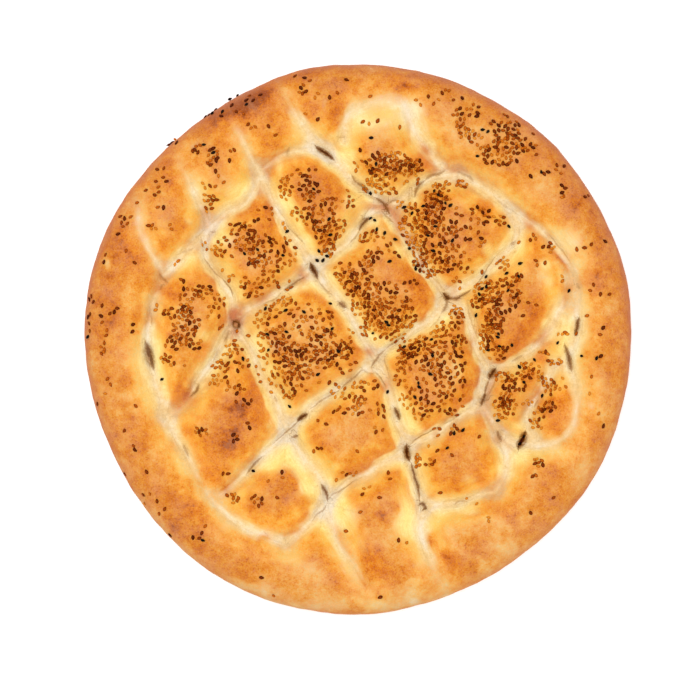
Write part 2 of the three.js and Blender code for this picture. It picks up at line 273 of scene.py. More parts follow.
# Broad pale hollows where grooves meet or spread: x, y, half length, half width, turn, depth, paleness
HOLLOWS = [
    (-9, 93, 10, 7, -40, 1.2, 0.5), (2, 69, 9, 7, -40, 1.0, 0.5), (-45, -3, 6, 5, 0, 0.8, 0.5),
    (-73, 57, 8, 6, -60, 0.8, 0.5), (-38, 68, 10, 3.5, -68, 0, 0.5), (12, 55, 9, 6, -50, 0, 0.5),
    (20, -36, 8, 5, -80, 0, 0.35), (-4, 115, 6, 4, 0, 0, 0.4), (-106, -8, 12, 6, -80, 1.0, 0.45),
    (76, -53, 13, 9, -25, 1.4, 0.35), (-9, -89, 11, 8, -50, 1.2, 0.8), (-40, -62, 13, 7, -25, 0.3, 0.65),
    (24, -86, 14, 5, -85, 0.3, 0.6), (-68, 52, 8, 6, 0, 0.3, 0.55), (35, -98, 8, 6, -75, 1.0, 0.5),
    (110, 0, 14, 6, 85, 1.0, 0.4), (102, 52, 12, 5, -50, 0.8, 0.2), (29, 112, 11, 5, -65, 1.2, 0.6),
    (-37, -52, 9, 6, -50, 1.0, 0.5), (6, -6, 8, 6, 0, 0.8, 0.4), (61, 81, 7, 5, -30, 0.6, 0.3),
    (-24, 101, 8, 5, -50, 0.8, 0.4), (52, -85, 9, 5, 10, 0.6, 0.3), (-64, 63, 15, 4, 37, 0.3, 0.15),
    (-50, -99, 9, 4, -25, 0.3, 0.4), (20, 114, 8, 5, 0, 0.3, 0.35),
]

# Where more pale dough shows, or below zero where the crust closes over it, in the photo's pixels:
# middle, half length, half width, turn in degrees, share in hundredths
CREAM = [
    (247, 190, 14, 5, -55, 87), (232, 204, 13, 5, -30, 72), (238, 190, 13, 8, -30, 51),
    (280, 170, 5, 14, 0, 65), (286, 200, 8, 6, 45, 80), (298, 222, 18, 5, 68, 80),
    (308, 240, 9, 5, 60, 80), (321, 274, 16, 9, 60, 94), (292, 292, 11, 6, -30, 51),
    (350, 311, 12, 8, 45, 72), (374, 337, 14, 5, 12, 80), (395, 352, 10, 6, -45, 65),
    (258, 340, 6, 16, 0, 80), (262, 355, 8, 8, 0, 51), (250, 324, 6, 5, 0, 51), (272, 370, 6, 9, 0, 58),
    (242, 292, 5, 14, -10, 65), (228, 270, 10, 5, 60, 58), (190, 258, 14, 6, -10, 65),
    (220, 240, 10, 6, 0, 72), (190, 222, 7, 5, 40, 58), (160, 225, 18, 12, 0, 36),
    (140, 216, 5, 12, 0, 51), (206, 336, 7, 8, 0, 51), (224, 351, 10, 5, -40, 94),
    (206, 371, 12, 7, -10, 94), (159, 348, 6, 14, 0, 80), (306, 411, 15, 7, -35, 80),
    (285, 408, 10, 6, 0, 51), (326, 395, 14, 6, -35, 72), (301, 426, 6, 6, 0, 65),
    (270, 425, 5, 9, 0, 51), (358, 395, 5, 12, 0, 43), (402, 396, 6, 8, 0, 65), (404, 414, 13, 8, 55, 87),
    (416, 430, 10, 7, 30, 87), (286, 450, 9, 9, 0, 72), (296, 465, 14, 7, 60, 87),
    (270, 465, 12, 7, -10, 95), (309, 486, 12, 10, 0, 95), (325, 483, 8, 8, 0, 58),
    (245, 490, 20, 5, -35, 43), (341, 505, 7, 14, 0, 94), (320, 520, 8, 8, 0, 58),
    (360, 545, 16, 7, 65, 43), (408, 510, 7, 10, 0, 80), (405, 525, 10, 9, 0, 95),
    (396, 463, 20, 5, -15, 65), (412, 462, 7, 5, 0, 51), (440, 508, 10, 6, 20, 51),
    (470, 510, 12, 6, -5, 65), (468, 477, 8, 8, 0, 43), (520, 456, 12, 7, 0, 80),
    (542, 450, 16, 4, 0, 51), (520, 426, 12, 5, 15, 65), (480, 343, 5, 9, 0, 72), (565, 330, 4, 8, 0, 58),
    (560, 352, 8, 14, 0, 36), (590, 405, 6, 6, 0, 51), (570, 245, 14, 14, 0, 58),
    (520, 245, 5, 10, 0, 58), (545, 265, 7, 6, 0, 65), (548, 282, 6, 7, 0, 51), (487, 250, 7, 8, 0, 65),
    (440, 322, 12, 5, -30, 80), (510, 262, 6, 8, 0, 36), (398, 250, 12, 5, 60, 80),
    (350, 248, 8, 5, -20, 51), (350, 200, 7, 8, 0, 51), (345, 215, 5, 10, 0, 36), (375, 222, 7, 5, 0, 51),
    (395, 190, 5, 6, 0, 51), (415, 200, 5, 6, 0, 51), (350, 155, 10, 6, 60, 65), (332, 137, 6, 5, 0, 65),
    (366, 121, 18, 9, 0, 72), (395, 108, 9, 5, 0, 72), (415, 110, 9, 8, 0, 72), (425, 125, 8, 12, 0, 36),
    (375, 150, 10, 6, 0, 29), (470, 140, 14, 10, 0, 22), (500, 170, 10, 5, 0, 36),
    (325, 105, 5, 14, 0, 29), (195, 145, 12, 4, -45, 43), (160, 160, 12, 4, -40, 29),
    (290, 560, 16, 10, 0, 29), (345, 570, 14, 5, 45, 43), (447, 528, 8, 7, 0, 36),
    (530, 495, 18, 12, 0, 17), (268, 206, 16, 5, 68, -72), (262, 156, 8, 4, 0, -58),
    (283, 148, 10, 5, -35, -72), (340, 118, 4, 10, 0, -58), (408, 130, 3, 12, 0, -58),
    (425, 150, 9, 4, 50, -72), (380, 208, 14, 4, 0, -51), (397, 215, 10, 7, 30, -72),
    (412, 240, 6, 6, 0, -51), (421, 262, 4, 12, 0, -58), (158, 285, 7, 7, 0, -72),
    (147, 315, 5, 10, 0, -72), (143, 250, 12, 4, 70, -51), (205, 212, 8, 7, 0, -58),
    (225, 218, 12, 4, -15, -36), (235, 313, 9, 7, 0, -72), (235, 333, 6, 5, 0, -58),
    (264, 297, 14, 5, -40, -65), (300, 271, 9, 5, 60, -51), (184, 396, 13, 5, -63, -87),
    (228, 480, 12, 5, -40, -65), (250, 455, 16, 7, -45, -43), (202, 485, 5, 5, 0, -58),
    (265, 537, 8, 5, 0, -72), (292, 531, 12, 4, -10, -65), (306, 515, 8, 5, -60, -65),
    (345, 543, 17, 4, 60, -94), (432, 540, 10, 6, 70, -87), (365, 468, 16, 4, -35, -72),
    (390, 512, 10, 5, -30, -36), (368, 352, 8, 5, 20, -65), (386, 385, 5, 8, 0, -65),
    (370, 322, 5, 4, 0, -36), (420, 315, 5, 7, 0, -65), (425, 395, 6, 5, 0, -36),
    (485, 415, 14, 6, 70, -51), (497, 440, 10, 5, 0, -36), (500, 480, 9, 8, 0, -51),
    (560, 264, 14, 4, 50, -80), (569, 297, 7, 16, 0, -94), (540, 335, 10, 5, -45, -65),
    (535, 392, 7, 7, 0, -65), (545, 360, 5, 8, 0, -51), (560, 425, 8, 5, -40, -36),
    (455, 170, 9, 4, 0, -65), (455, 285, 4, 10, 0, -36), (480, 178, 6, 4, 30, -36),
    (530, 218, 8, 8, 0, -36), (565, 390, 5, 8, 0, -36), (305, 284, 10, 5, 0, 40), (352, 319, 8, 6, 0, 30),
    (190, 263, 14, 8, 0, 30), (440, 511, 10, 8, 0, 30), (462, 508, 18, 5, 0, 20), (225, 526, 8, 8, 0, 30),
    (372, 125, 16, 8, 0, 30), (475, 145, 14, 10, 0, 15), (405, 422, 8, 10, 0, 25),
    (341, 500, 6, 10, 0, 25), (342, 553, 38, 5, 59, 70), (302, 477, 28, 6, 62, 60),
    (268, 465, 8, 8, -40, 35), (340, 507, 7, 10, 0, 60), (405, 525, 9, 16, 0, 60),
    (408, 465, 14, 6, 0, 45), (385, 465, 10, 6, 0, 30), (408, 425, 12, 7, 20, 55),
    (401, 405, 6, 7, 0, 45), (382, 415, 5, 14, 10, 40), (335, 393, 7, 8, 0, 50),
    (313, 418, 14, 6, -40, 40), (350, 318, 14, 9, 40, 70), (375, 338, 12, 5, 20, 40),
    (307, 288, 10, 5, 0, 60), (322, 285, 9, 10, 0, 60), (320, 272, 8, 6, 0, 30),
    (395, 350, 10, 6, -30, 30), (480, 342, 5, 7, 0, 40), (408, 255, 10, 7, 20, 50),
    (340, 250, 14, 5, -10, 30), (305, 242, 8, 7, 0, 35), (285, 202, 9, 6, 45, 50),
    (235, 190, 18, 8, -15, 35), (185, 265, 10, 8, 0, 45), (355, 130, 9, 9, 0, 60),
    (345, 155, 6, 9, 0, 40), (395, 135, 12, 10, 30, 30), (380, 125, 16, 4, 0, 30),
    (410, 108, 8, 10, 0, 25), (355, 200, 8, 10, 0, 35), (415, 203, 6, 7, 0, 35), (255, 350, 7, 8, 0, 50),
    (268, 373, 6, 5, 0, 35), (228, 350, 9, 5, -45, 50), (207, 370, 12, 5, -30, 50),
    (470, 297, 8, 6, 0, 20), (448, 317, 9, 6, 0, 35), (517, 250, 8, 14, 0, 30), (545, 265, 7, 7, 0, 45),
    (550, 287, 6, 10, 0, 45), (488, 250, 6, 9, 0, 25), (563, 335, 5, 7, 0, 30), (555, 350, 9, 6, 0, 25),
    (560, 378, 6, 9, 0, 25), (515, 427, 12, 5, 10, 35), (520, 458, 9, 7, 0, 25), (468, 480, 10, 7, 0, 20),
    (440, 510, 9, 10, 0, 25), (230, 525, 7, 7, 0, 30), (418, 563, 8, 9, 0, 40), (165, 445, 8, 14, 0, 15),
    (190, 470, 5, 12, 0, 25), (423, 135, 6, 10, 0, 30), (445, 185, 7, 4, 0, 20), (290, 512, 14, 7, 0, 15),
    (390, 557, 7, 5, 0, 20), (400, 225, 7, 16, 15, -50), (383, 203, 8, 6, 40, -30),
    (420, 300, 6, 14, 30, -35), (452, 297, 6, 8, 0, -30), (268, 157, 10, 6, -15, -50),
    (318, 127, 8, 6, 0, -40), (340, 115, 7, 12, 30, -35), (185, 240, 9, 8, 0, -50),
    (205, 225, 10, 9, 40, -35), (235, 320, 10, 8, -20, -55), (145, 300, 8, 24, 15, -40),
    (155, 285, 8, 8, 0, -35), (108, 287, 14, 6, 0, -30), (118, 245, 10, 12, 0, -20),
    (180, 400, 20, 6, -60, -45), (240, 465, 14, 7, -45, -40), (222, 490, 8, 5, -40, -45),
    (202, 490, 6, 7, 0, -35), (295, 485, 5, 9, 0, -40), (350, 545, 18, 5, 58, -45),
    (385, 517, 14, 6, -35, -35), (532, 393, 24, 5, -60, -35), (540, 340, 12, 5, -30, -30),
    (570, 300, 9, 12, 0, -35), (585, 275, 8, 7, 0, -25), (570, 395, 8, 6, 0, -30),
    (500, 490, 10, 9, 0, -30), (495, 430, 9, 14, 0, -20), (472, 445, 6, 8, 0, -25),
    (435, 435, 5, 9, 0, -35), (490, 545, 14, 9, 0, -25), (468, 345, 5, 8, 0, -30),
    (355, 325, 8, 9, 0, 60), (320, 285, 9, 10, 0, 50), (313, 490, 5, 12, -20, 50),
    (292, 455, 8, 6, 40, 50), (340, 508, 6, 9, 0, 50), (412, 520, 7, 9, 0, 60), (408, 425, 8, 6, 0, 40),
    (520, 250, 5, 9, 0, 30), (258, 348, 6, 6, 0, 50), (212, 371, 10, 5, -20, 50), (270, 373, 7, 4, 0, 40),
    (335, 393, 5, 6, 0, 40), (440, 323, 14, 5, -15, 40), (482, 345, 4, 7, 0, 40), (368, 125, 7, 6, 0, 50),
    (290, 202, 12, 5, 45, 50), (235, 195, 18, 9, -30, 30), (310, 243, 8, 6, 0, 35),
    (415, 465, 8, 6, 0, 40), (520, 458, 7, 7, 0, 30), (443, 512, 9, 9, 0, 30), (320, 527, 5, 10, 0, 40),
    (565, 330, 4, 6, 0, 40), (345, 250, 9, 4, -15, 30), (372, 178, 6, 7, 0, 30), (350, 155, 6, 8, 0, 30),
    (290, 170, 7, 6, 0, 25), (285, 560, 14, 7, 0, 20), (425, 310, 7, 12, 30, -30),
    (410, 240, 18, 5, 50, -30), (285, 125, 5, 12, -25, -30), (268, 158, 9, 5, -20, -40),
    (145, 315, 5, 12, 0, -30), (150, 290, 8, 6, -30, -30), (110, 288, 10, 5, 0, -30),
    (120, 245, 9, 12, 0, -20), (185, 395, 12, 5, -60, -30), (305, 278, 8, 6, -30, -30),
    (558, 265, 16, 5, 50, -35), (545, 300, 8, 16, 0, -25), (515, 330, 16, 10, 0, -20),
    (470, 345, 4, 12, 15, -30), (490, 403, 9, 5, 0, -25), (525, 410, 12, 4, -55, -30),
    (472, 447, 6, 8, 0, -25), (405, 445, 7, 6, 0, -25), (490, 545, 16, 12, 0, -20),
    (385, 515, 16, 5, -35, -30), (343, 545, 16, 4, 60, -30), (202, 487, 6, 7, 0, -30),
    (230, 485, 10, 4, -45, -25), (228, 443, 7, 7, 0, -25), (240, 460, 12, 8, -30, -20),
    (290, 470, 8, 5, 20, -25), (555, 440, 10, 5, -45, -25),
]

# Colour patches in the photo's pixels: middle, half length, half width, turn in degrees, browning in
# hundredths
PATCHES = [
    # scorched and browned places on the rim at the top
    (240, 106, 26, 11, -25, 62), (228, 112, 14, 8, -25, 14), (262, 98, 24, 8, -20, 24),
    (250, 119, 20, 8, -20, 14), (210, 125, 14, 6, -30, 15), (270, 148, 13, 14, 10, 24),
    (288, 114, 6, 16, -20, 14), (330, 82, 60, 9, 0, 12), (410, 82, 20, 9, 10, 16),
    (339, 112, 5, 16, 0, 36), (312, 110, 10, 8, 0, 12), (500, 148, 30, 14, 0, 10),
    (540, 155, 12, 10, 0, 13), (575, 210, 8, 16, -20, 24), (600, 235, 6, 20, -15, 16),
    (480, 100, 26, 8, 20, 6),
    # the rim at the left
    (120, 245, 12, 14, 0, 20), (145, 264, 6, 18, -28, 20), (170, 186, 8, 8, 0, 13),
    (180, 207, 8, 10, 0, 13), (180, 230, 8, 10, 0, 10), (108, 300, 10, 60, 0, 14),
    (112, 322, 9, 10, 0, 10), (126, 380, 9, 10, 0, 15), (99, 350, 8, 14, 0, 10),
    (150, 430, 10, 18, -30, 15), (115, 440, 6, 14, -20, 14), (140, 225, 6, 30, -15, 6),
    (180, 500, 18, 10, 30, 20), (175, 527, 9, 8, 30, 28), (200, 545, 14, 7, 35, 16),
    (150, 480, 8, 6, 0, 10), (160, 400, 8, 16, -20, 4),
    # the rim at the bottom and at the right
    (240, 575, 20, 8, 15, 14), (255, 550, 14, 16, 0, 10), (320, 556, 8, 10, 0, 15),
    (336, 578, 7, 8, 0, 14), (295, 575, 12, 8, 0, 13), (432, 585, 7, 8, 0, 6), (372, 560, 16, 14, 0, 22),
    (391, 572, 20, 12, 10, 12), (377, 551, 11, 4, 0, 14), (446, 556, 10, 14, 0, 15),
    (346, 607, 16, 5, 0, 10), (300, 600, 24, 6, 10, 10), (465, 567, 16, 10, 30, 18),
    (450, 560, 9, 8, 0, 12), (475, 535, 5, 6, 0, 17), (508, 512, 6, 12, -30, 24), (553, 471, 8, 8, 0, 24),
    (553, 498, 22, 16, -30, 16), (545, 530, 16, 8, -35, 15), (597, 440, 8, 16, 10, 15),
    (600, 280, 10, 18, 0, 17), (620, 310, 5, 60, 0, 12), (602, 356, 14, 20, 0, 12),
    (515, 540, 10, 8, 0, 8),
    # browned tops and flanks of the pillows
    (318, 178, 8, 22, -22, 32), (332, 200, 7, 14, -15, 16), (268, 214, 6, 15, 10, 28),
    (250, 235, 16, 12, 0, 8), (425, 158, 9, 10, 0, 26), (375, 150, 14, 5, 0, 6),
    (418, 290, 7, 26, -22, 28), (396, 264, 14, 8, 35, 14), (385, 285, 20, 20, 0, 6),
    (422, 316, 6, 8, 0, 10), (466, 370, 6, 24, -5, 26), (460, 396, 8, 14, 15, 14),
    (430, 370, 20, 20, 0, 6), (527, 302, 14, 18, -20, 16), (536, 314, 10, 14, -20, 22),
    (520, 337, 20, 7, -35, 24), (475, 240, 18, 14, 0, 12), (445, 225, 20, 20, 0, 8),
    (490, 206, 10, 8, 20, 8), (300, 345, 24, 20, 0, 6), (352, 354, 10, 8, 0, 14), (270, 300, 14, 8, 0, 4),
    (175, 292, 9, 9, 0, 22), (205, 281, 8, 6, 0, 10), (204, 350, 6, 9, 0, 17), (183, 393, 9, 8, 0, 48),
    (180, 335, 12, 8, 0, 12), (235, 405, 14, 12, 0, 50), (228, 440, 14, 12, 0, 46),
    (259, 412, 6, 28, 5, 22), (205, 440, 16, 9, -20, 15), (188, 432, 6, 8, 0, 20),
    (210, 470, 10, 14, 20, 13), (283, 486, 12, 13, 0, 22), (290, 526, 8, 8, 0, 16),
    (258, 505, 10, 10, 0, 11), (380, 519, 9, 6, 10, 32), (386, 504, 14, 12, 0, 15),
    (315, 442, 7, 16, 0, 13), (376, 455, 12, 10, 0, 12), (480, 478, 8, 10, -30, 12),
    (462, 470, 14, 12, 0, 13), (455, 486, 8, 6, 0, 12), (555, 405, 13, 14, 0, 26),
    (530, 378, 8, 8, 0, 20), (505, 378, 8, 10, 0, 12), (536, 246, 7, 12, 0, 18),
    (556, 254, 3, 14, -40, 22), (437, 484, 8, 6, 0, 6), (312, 70, 22, 6, -12, 20),
    (430, 79, 18, 6, 12, 14), (406, 89, 12, 6, 0, 12), (215, 120, 12, 15, 30, 14),
    (252, 108, 14, 10, 0, 6), (164, 166, 8, 14, 30, 18), (177, 182, 7, 7, 0, 12), (156, 186, 8, 6, 0, 10),
    (297, 185, 5, 13, -10, 12), (314, 205, 5, 16, 0, 12), (267, 196, 6, 12, 0, 13),
    (130, 260, 7, 10, 0, 18), (118, 300, 8, 24, -10, 14), (160, 287, 12, 8, 10, 20),
    (143, 314, 5, 8, 0, 14), (187, 240, 6, 8, 0, 10), (235, 310, 7, 11, 0, 12), (257, 300, 6, 8, 0, 12),
    (360, 350, 8, 6, 0, 20), (406, 346, 8, 9, 0, 16), (424, 150, 6, 14, -20, 22),
    (485, 202, 10, 5, 10, 16), (531, 222, 12, 10, 20, 20), (557, 256, 12, 4, 45, 24),
    (565, 286, 8, 9, 0, 22), (592, 274, 14, 16, 0, 12), (548, 140, 20, 5, 42, 20),
    (588, 202, 9, 18, -25, 18), (565, 188, 9, 8, 0, 14), (600, 228, 10, 8, 0, 12),
    (626, 290, 5, 45, -5, 14), (582, 495, 22, 5, -45, 16), (540, 360, 10, 6, 0, 10),
    (568, 400, 6, 20, 0, 26), (556, 430, 10, 8, -30, 22), (494, 430, 8, 14, -15, 10),
    (444, 434, 18, 6, -20, 10), (257, 388, 6, 16, 10, 16), (241, 420, 9, 10, 0, 18),
    (243, 446, 7, 14, 0, 12), (222, 482, 9, 7, 0, 20), (137, 448, 9, 12, 0, 17), (142, 486, 12, 7, 0, 14),
    (165, 475, 8, 8, 0, 12), (196, 510, 11, 8, 0, 20), (172, 516, 10, 8, 0, 14), (201, 531, 8, 7, 0, 20),
    (245, 566, 14, 8, 0, 11), (303, 516, 7, 11, 0, 17), (370, 576, 14, 6, 0, 10),
    (430, 541, 6, 10, 0, 18), (313, 441, 13, 5, -20, 12), (358, 470, 13, 6, -25, 14),
    (434, 203, 12, 12, 0, 12), (428, 262, 12, 11, 0, 10), (518, 166, 12, 8, 0, 16),
    (461, 120, 8, 8, 0, 15), (210, 162, 10, 8, 0, 10), (327, 240, 9, 7, 0, 12),
    (246, 208, 10, 5, -40, 14), (264, 205, 6, 9, 0, 10), (281, 234, 6, 6, 0, 8), (300, 190, 8, 9, 0, 10),
    (162, 287, 9, 6, 10, 8), (120, 290, 9, 14, 10, 8), (187, 241, 5, 6, 0, 8), (235, 312, 6, 8, 0, 9),
    (145, 315, 4, 6, 0, 8), (362, 352, 6, 6, 0, 12), (385, 386, 6, 7, 0, 12), (409, 350, 8, 10, 0, 9),
    (414, 382, 6, 7, 0, 10), (425, 396, 6, 8, 0, 10), (366, 316, 6, 7, 0, 9), (372, 305, 6, 6, 0, 8),
    (419, 316, 7, 7, 0, 9), (410, 240, 5, 5, 0, 12), (427, 270, 12, 8, 20, 10), (457, 280, 5, 9, 0, 12),
    (450, 250, 9, 6, 30, 9), (484, 285, 5, 8, 0, 10), (338, 118, 5, 10, 0, 14), (310, 68, 22, 4, -12, 9),
    (432, 79, 16, 5, 12, 8), (404, 91, 8, 6, 0, 8), (540, 135, 13, 4, 45, 12), (627, 280, 4, 30, -10, 9),
    (632, 320, 4, 20, 0, 8), (580, 498, 16, 4, -45, 9), (220, 108, 10, 7, -30, 9),
    (216, 125, 7, 12, 30, 8), (165, 172, 8, 9, 30, 9), (185, 190, 6, 8, 0, 7), (520, 175, 7, 10, 20, 10),
    (533, 220, 9, 8, 20, 10), (555, 255, 8, 4, 45, 10), (567, 287, 6, 5, 0, 10), (590, 252, 6, 8, 0, 9),
    (580, 205, 6, 10, -20, 7), (512, 330, 10, 8, -30, 9), (495, 344, 8, 4, -10, 8),
    (536, 362, 10, 6, 0, 9), (540, 392, 4, 6, 0, 8), (505, 440, 12, 5, 30, 8), (560, 432, 9, 7, -40, 8),
    (588, 425, 7, 8, 0, 8), (576, 446, 9, 6, -40, 6), (543, 474, 9, 6, 20, 9), (146, 448, 7, 9, 0, 9),
    (203, 512, 11, 6, 0, 9), (232, 545, 7, 5, 0, 8), (252, 568, 9, 6, 0, 7), (165, 482, 6, 6, 0, 6),
    (302, 520, 9, 6, -40, 8), (264, 534, 5, 5, 0, 7), (345, 545, 10, 3, 60, 9), (430, 537, 5, 8, 0, 8),
    (382, 519, 9, 5, -20, 7), (250, 402, 5, 9, 0, 9), (240, 419, 9, 5, 0, 8), (277, 128, 8, 6, 0, 7),
    (313, 120, 5, 9, -10, 8), (468, 114, 7, 6, 0, 8), (308, 518, 6, 6, 0, 5), (370, 322, 5, 6, 0, 5),
    (238, 420, 34, 15, -75, 5), (165, 290, 9, 6, 0, 12), (145, 315, 5, 7, 0, 8),
    (127, 258, 8, 12, -10, 8), (185, 240, 6, 7, 0, 6), (115, 325, 8, 8, 0, 7), (225, 290, 6, 6, 0, 7),
    (173, 354, 6, 7, 0, 8), (214, 162, 9, 10, 0, 9), (173, 180, 6, 9, 0, 10), (170, 158, 5, 7, 0, 8),
    (230, 118, 16, 7, -10, 10), (252, 110, 8, 6, 0, 8), (285, 122, 7, 11, 0, 10), (311, 118, 5, 12, 0, 9),
    (270, 157, 7, 5, 0, 8), (325, 178, 6, 8, 0, 10), (312, 170, 8, 6, 0, 7), (300, 190, 7, 7, 0, 6),
    (350, 180, 6, 8, 0, 6), (390, 206, 7, 5, 0, 6), (402, 218, 8, 6, 0, 7), (418, 240, 7, 7, 0, 12),
    (425, 262, 5, 9, 0, 8), (440, 270, 10, 7, 0, 11), (428, 283, 6, 6, 0, 9), (457, 283, 5, 8, 0, 12),
    (452, 300, 6, 6, 0, 7), (425, 313, 5, 8, 0, 7), (367, 320, 6, 6, 0, 13), (425, 402, 7, 7, 0, 12),
    (435, 428, 6, 8, 0, 9), (495, 420, 6, 8, 0, 6), (484, 475, 7, 9, 0, 13), (502, 476, 7, 8, 0, 6),
    (511, 338, 9, 10, 30, 9), (536, 361, 10, 7, 0, 11), (565, 391, 6, 7, 0, 7), (560, 422, 8, 8, 0, 8),
    (586, 430, 7, 7, 0, 8), (570, 288, 7, 6, 0, 9), (598, 285, 7, 8, 0, 9), (563, 186, 6, 10, 0, 9),
    (541, 216, 12, 8, 0, 9), (578, 208, 6, 8, 0, 7), (595, 240, 6, 14, 0, 5), (556, 256, 7, 6, 0, 7),
    (396, 509, 11, 4, -35, 7), (435, 540, 5, 7, 0, 7), (545, 472, 8, 7, 20, 7), (205, 485, 7, 7, 0, 9),
    (228, 485, 7, 6, 0, 7), (146, 491, 8, 6, 0, 7), (183, 526, 12, 8, 20, 9), (210, 512, 9, 6, 0, 9),
    (170, 508, 8, 7, 0, 5), (200, 445, 9, 8, 0, 5), (256, 401, 5, 10, 0, 11), (285, 466, 8, 6, 0, 7),
    (405, 172, 12, 6, 0, 8), (402, 230, 7, 12, 20, 8), (429, 252, 6, 8, 0, 11), (340, 278, 8, 8, 0, 12),
    (348, 292, 8, 8, 0, 10), (370, 325, 6, 8, -40, 9), (433, 197, 6, 6, 0, 8), (318, 125, 8, 7, 0, 7),
    (340, 112, 10, 9, 0, 6), (252, 140, 7, 6, 0, 8), (240, 105, 18, 8, -10, 6), (235, 123, 14, 5, 0, 6),
    (215, 130, 8, 8, 0, 6), (168, 157, 6, 6, 0, 8), (168, 180, 6, 10, 0, 6), (185, 240, 9, 7, 0, 5),
    (125, 268, 7, 8, 0, 5), (165, 293, 9, 7, 0, 7), (195, 325, 6, 6, 0, 8), (115, 325, 8, 6, 0, 5),
    (272, 340, 6, 6, 0, 8), (280, 355, 6, 8, 0, 9), (320, 255, 5, 7, 0, 8), (303, 278, 8, 5, 0, 6),
    (310, 225, 8, 14, 0, 6), (350, 175, 8, 10, 0, 5), (540, 215, 10, 8, 30, 9), (590, 250, 8, 7, 0, 6),
    (583, 273, 7, 8, 0, 6), (600, 290, 8, 9, 0, 5), (480, 315, 5, 10, 30, 8), (415, 345, 9, 8, 0, 9),
    (430, 303, 12, 8, -30, 5), (452, 295, 8, 8, -50, 5), (535, 362, 12, 5, 0, 9), (545, 372, 5, 8, 0, 4),
    (497, 402, 7, 7, 0, 8), (405, 393, 9, 7, 0, 6), (420, 413, 6, 6, 0, 9), (434, 430, 6, 9, 0, 7),
    (540, 473, 8, 12, -30, 7), (585, 427, 9, 7, 0, 6), (463, 508, 9, 6, 0, 7), (395, 512, 16, 5, -30, 4),
    (437, 540, 6, 9, 0, 10), (345, 535, 9, 14, 35, 4), (490, 548, 10, 7, 0, 4), (212, 565, 8, 10, -40, 6),
    (245, 573, 8, 8, 0, 4), (285, 585, 9, 7, 0, 4), (320, 600, 12, 5, 0, 4), (430, 585, 6, 6, 0, 5),
    (155, 505, 20, 7, 45, 8), (180, 525, 14, 7, 45, 6), (285, 470, 6, 8, 0, 6), (250, 455, 20, 8, -45, 3),
    (225, 485, 8, 5, -45, 4), (196, 490, 9, 6, 0, 4), (115, 435, 8, 6, 0, 5), (138, 430, 5, 5, 0, 5),
    (143, 455, 6, 6, 0, 5), (100, 375, 5, 8, 0, 5), (165, 375, 12, 5, 0, 5), (130, 350, 5, 7, 0, 4),
    (290, 390, 5, 8, 0, 6), (255, 403, 5, 5, 0, 7), (318, 445, 12, 6, -15, 6), (500, 262, 5, 6, 0, 6),
    (575, 325, 8, 5, 0, 5), (505, 350, 9, 5, 0, 5), (540, 135, 8, 7, 0, 7), (410, 92, 14, 6, -20, 7),
    (457, 115, 5, 6, 0, 7), (300, 160, 8, 6, 0, 5), (298, 183, 6, 6, 0, 7), (370, 195, 5, 6, 0, 5),
    (333, 82, 7, 7, 0, 5), (310, 72, 10, 8, 0, 4), (550, 255, 10, 4, 0, 9), (343, 270, 5, 6, 0, 10),
    (343, 290, 7, 8, 0, 6), (428, 252, 5, 8, 0, 8), (412, 240, 6, 10, -30, 6), (450, 215, 5, 6, 0, 9),
    (252, 215, 10, 6, 10, 9), (368, 157, 5, 6, 0, 9), (400, 172, 7, 5, 0, 6), (415, 175, 5, 6, 0, 6),
    (242, 247, 5, 7, 0, 7), (265, 273, 5, 5, 0, 8), (302, 280, 6, 5, 0, 8), (272, 350, 5, 12, 0, 6),
    (190, 325, 7, 9, -30, 6), (145, 258, 5, 8, 0, 5), (168, 295, 7, 7, 0, 5), (238, 101, 18, 8, -10, 12),
    (222, 117, 12, 8, -30, 8), (262, 94, 10, 5, -10, 6), (170, 175, 8, 14, 20, 5),
    (215, 165, 10, 6, 0, 5), (142, 490, 9, 8, 0, 6), (200, 532, 9, 9, 0, 6), (210, 560, 9, 10, 0, 5),
    (245, 575, 12, 8, 0, 4), (285, 465, 10, 6, 0, 4), (487, 475, 8, 8, -40, 8), (535, 360, 10, 5, 20, 7),
    (500, 337, 14, 5, 0, 5), (455, 430, 6, 6, 0, 6), (435, 430, 6, 7, 0, 5), (400, 385, 9, 6, 0, 5),
    (400, 350, 12, 5, -40, 4), (458, 272, 6, 5, 0, 6), (560, 193, 12, 6, 0, 4), (525, 160, 6, 10, 0, 4),
    (540, 135, 8, 7, 0, 4), (95, 255, 6, 12, 0, 4), (90, 375, 6, 12, 0, 3), (345, 290, 6, 9, 0, 7),
    (320, 255, 6, 7, 0, 8), (335, 238, 8, 5, 0, 7), (305, 235, 7, 6, 0, 5), (362, 318, 5, 5, 0, 8),
    (420, 398, 8, 6, 0, 9), (515, 448, 6, 7, -40, 8), (418, 173, 6, 5, 0, 8), (432, 195, 5, 6, 0, 8),
    (412, 214, 9, 5, 0, 6), (432, 255, 5, 7, 0, 5), (370, 115, 9, 6, 0, 7), (575, 320, 8, 6, 30, 5),
    (302, 482, 7, 6, 0, 6), (310, 450, 10, 6, 0, 5), (272, 455, 12, 8, 0, 5), (210, 250, 6, 6, 0, 6),
    (248, 250, 9, 6, 0, 6), (445, 335, 5, 5, 0, 7), (235, 98, 16, 6, -15, 6), (165, 515, 14, 7, 45, 5),
    (190, 535, 8, 6, 0, 5),
    # paler places
    (372, 112, 30, 12, 0, -20), (392, 126, 20, 10, 0, -12), (562, 237, 20, 9, 50, -42),
    (580, 260, 8, 14, 20, -24), (133, 352, 9, 32, 0, -14), (160, 444, 9, 17, -20, -22),
    (205, 502, 20, 9, 40, -20), (236, 541, 22, 6, 20, -16), (300, 552, 18, 8, 0, -20),
    (290, 560, 10, 6, 0, -10), (445, 521, 26, 8, 0, -25), (470, 519, 14, 8, 0, -16),
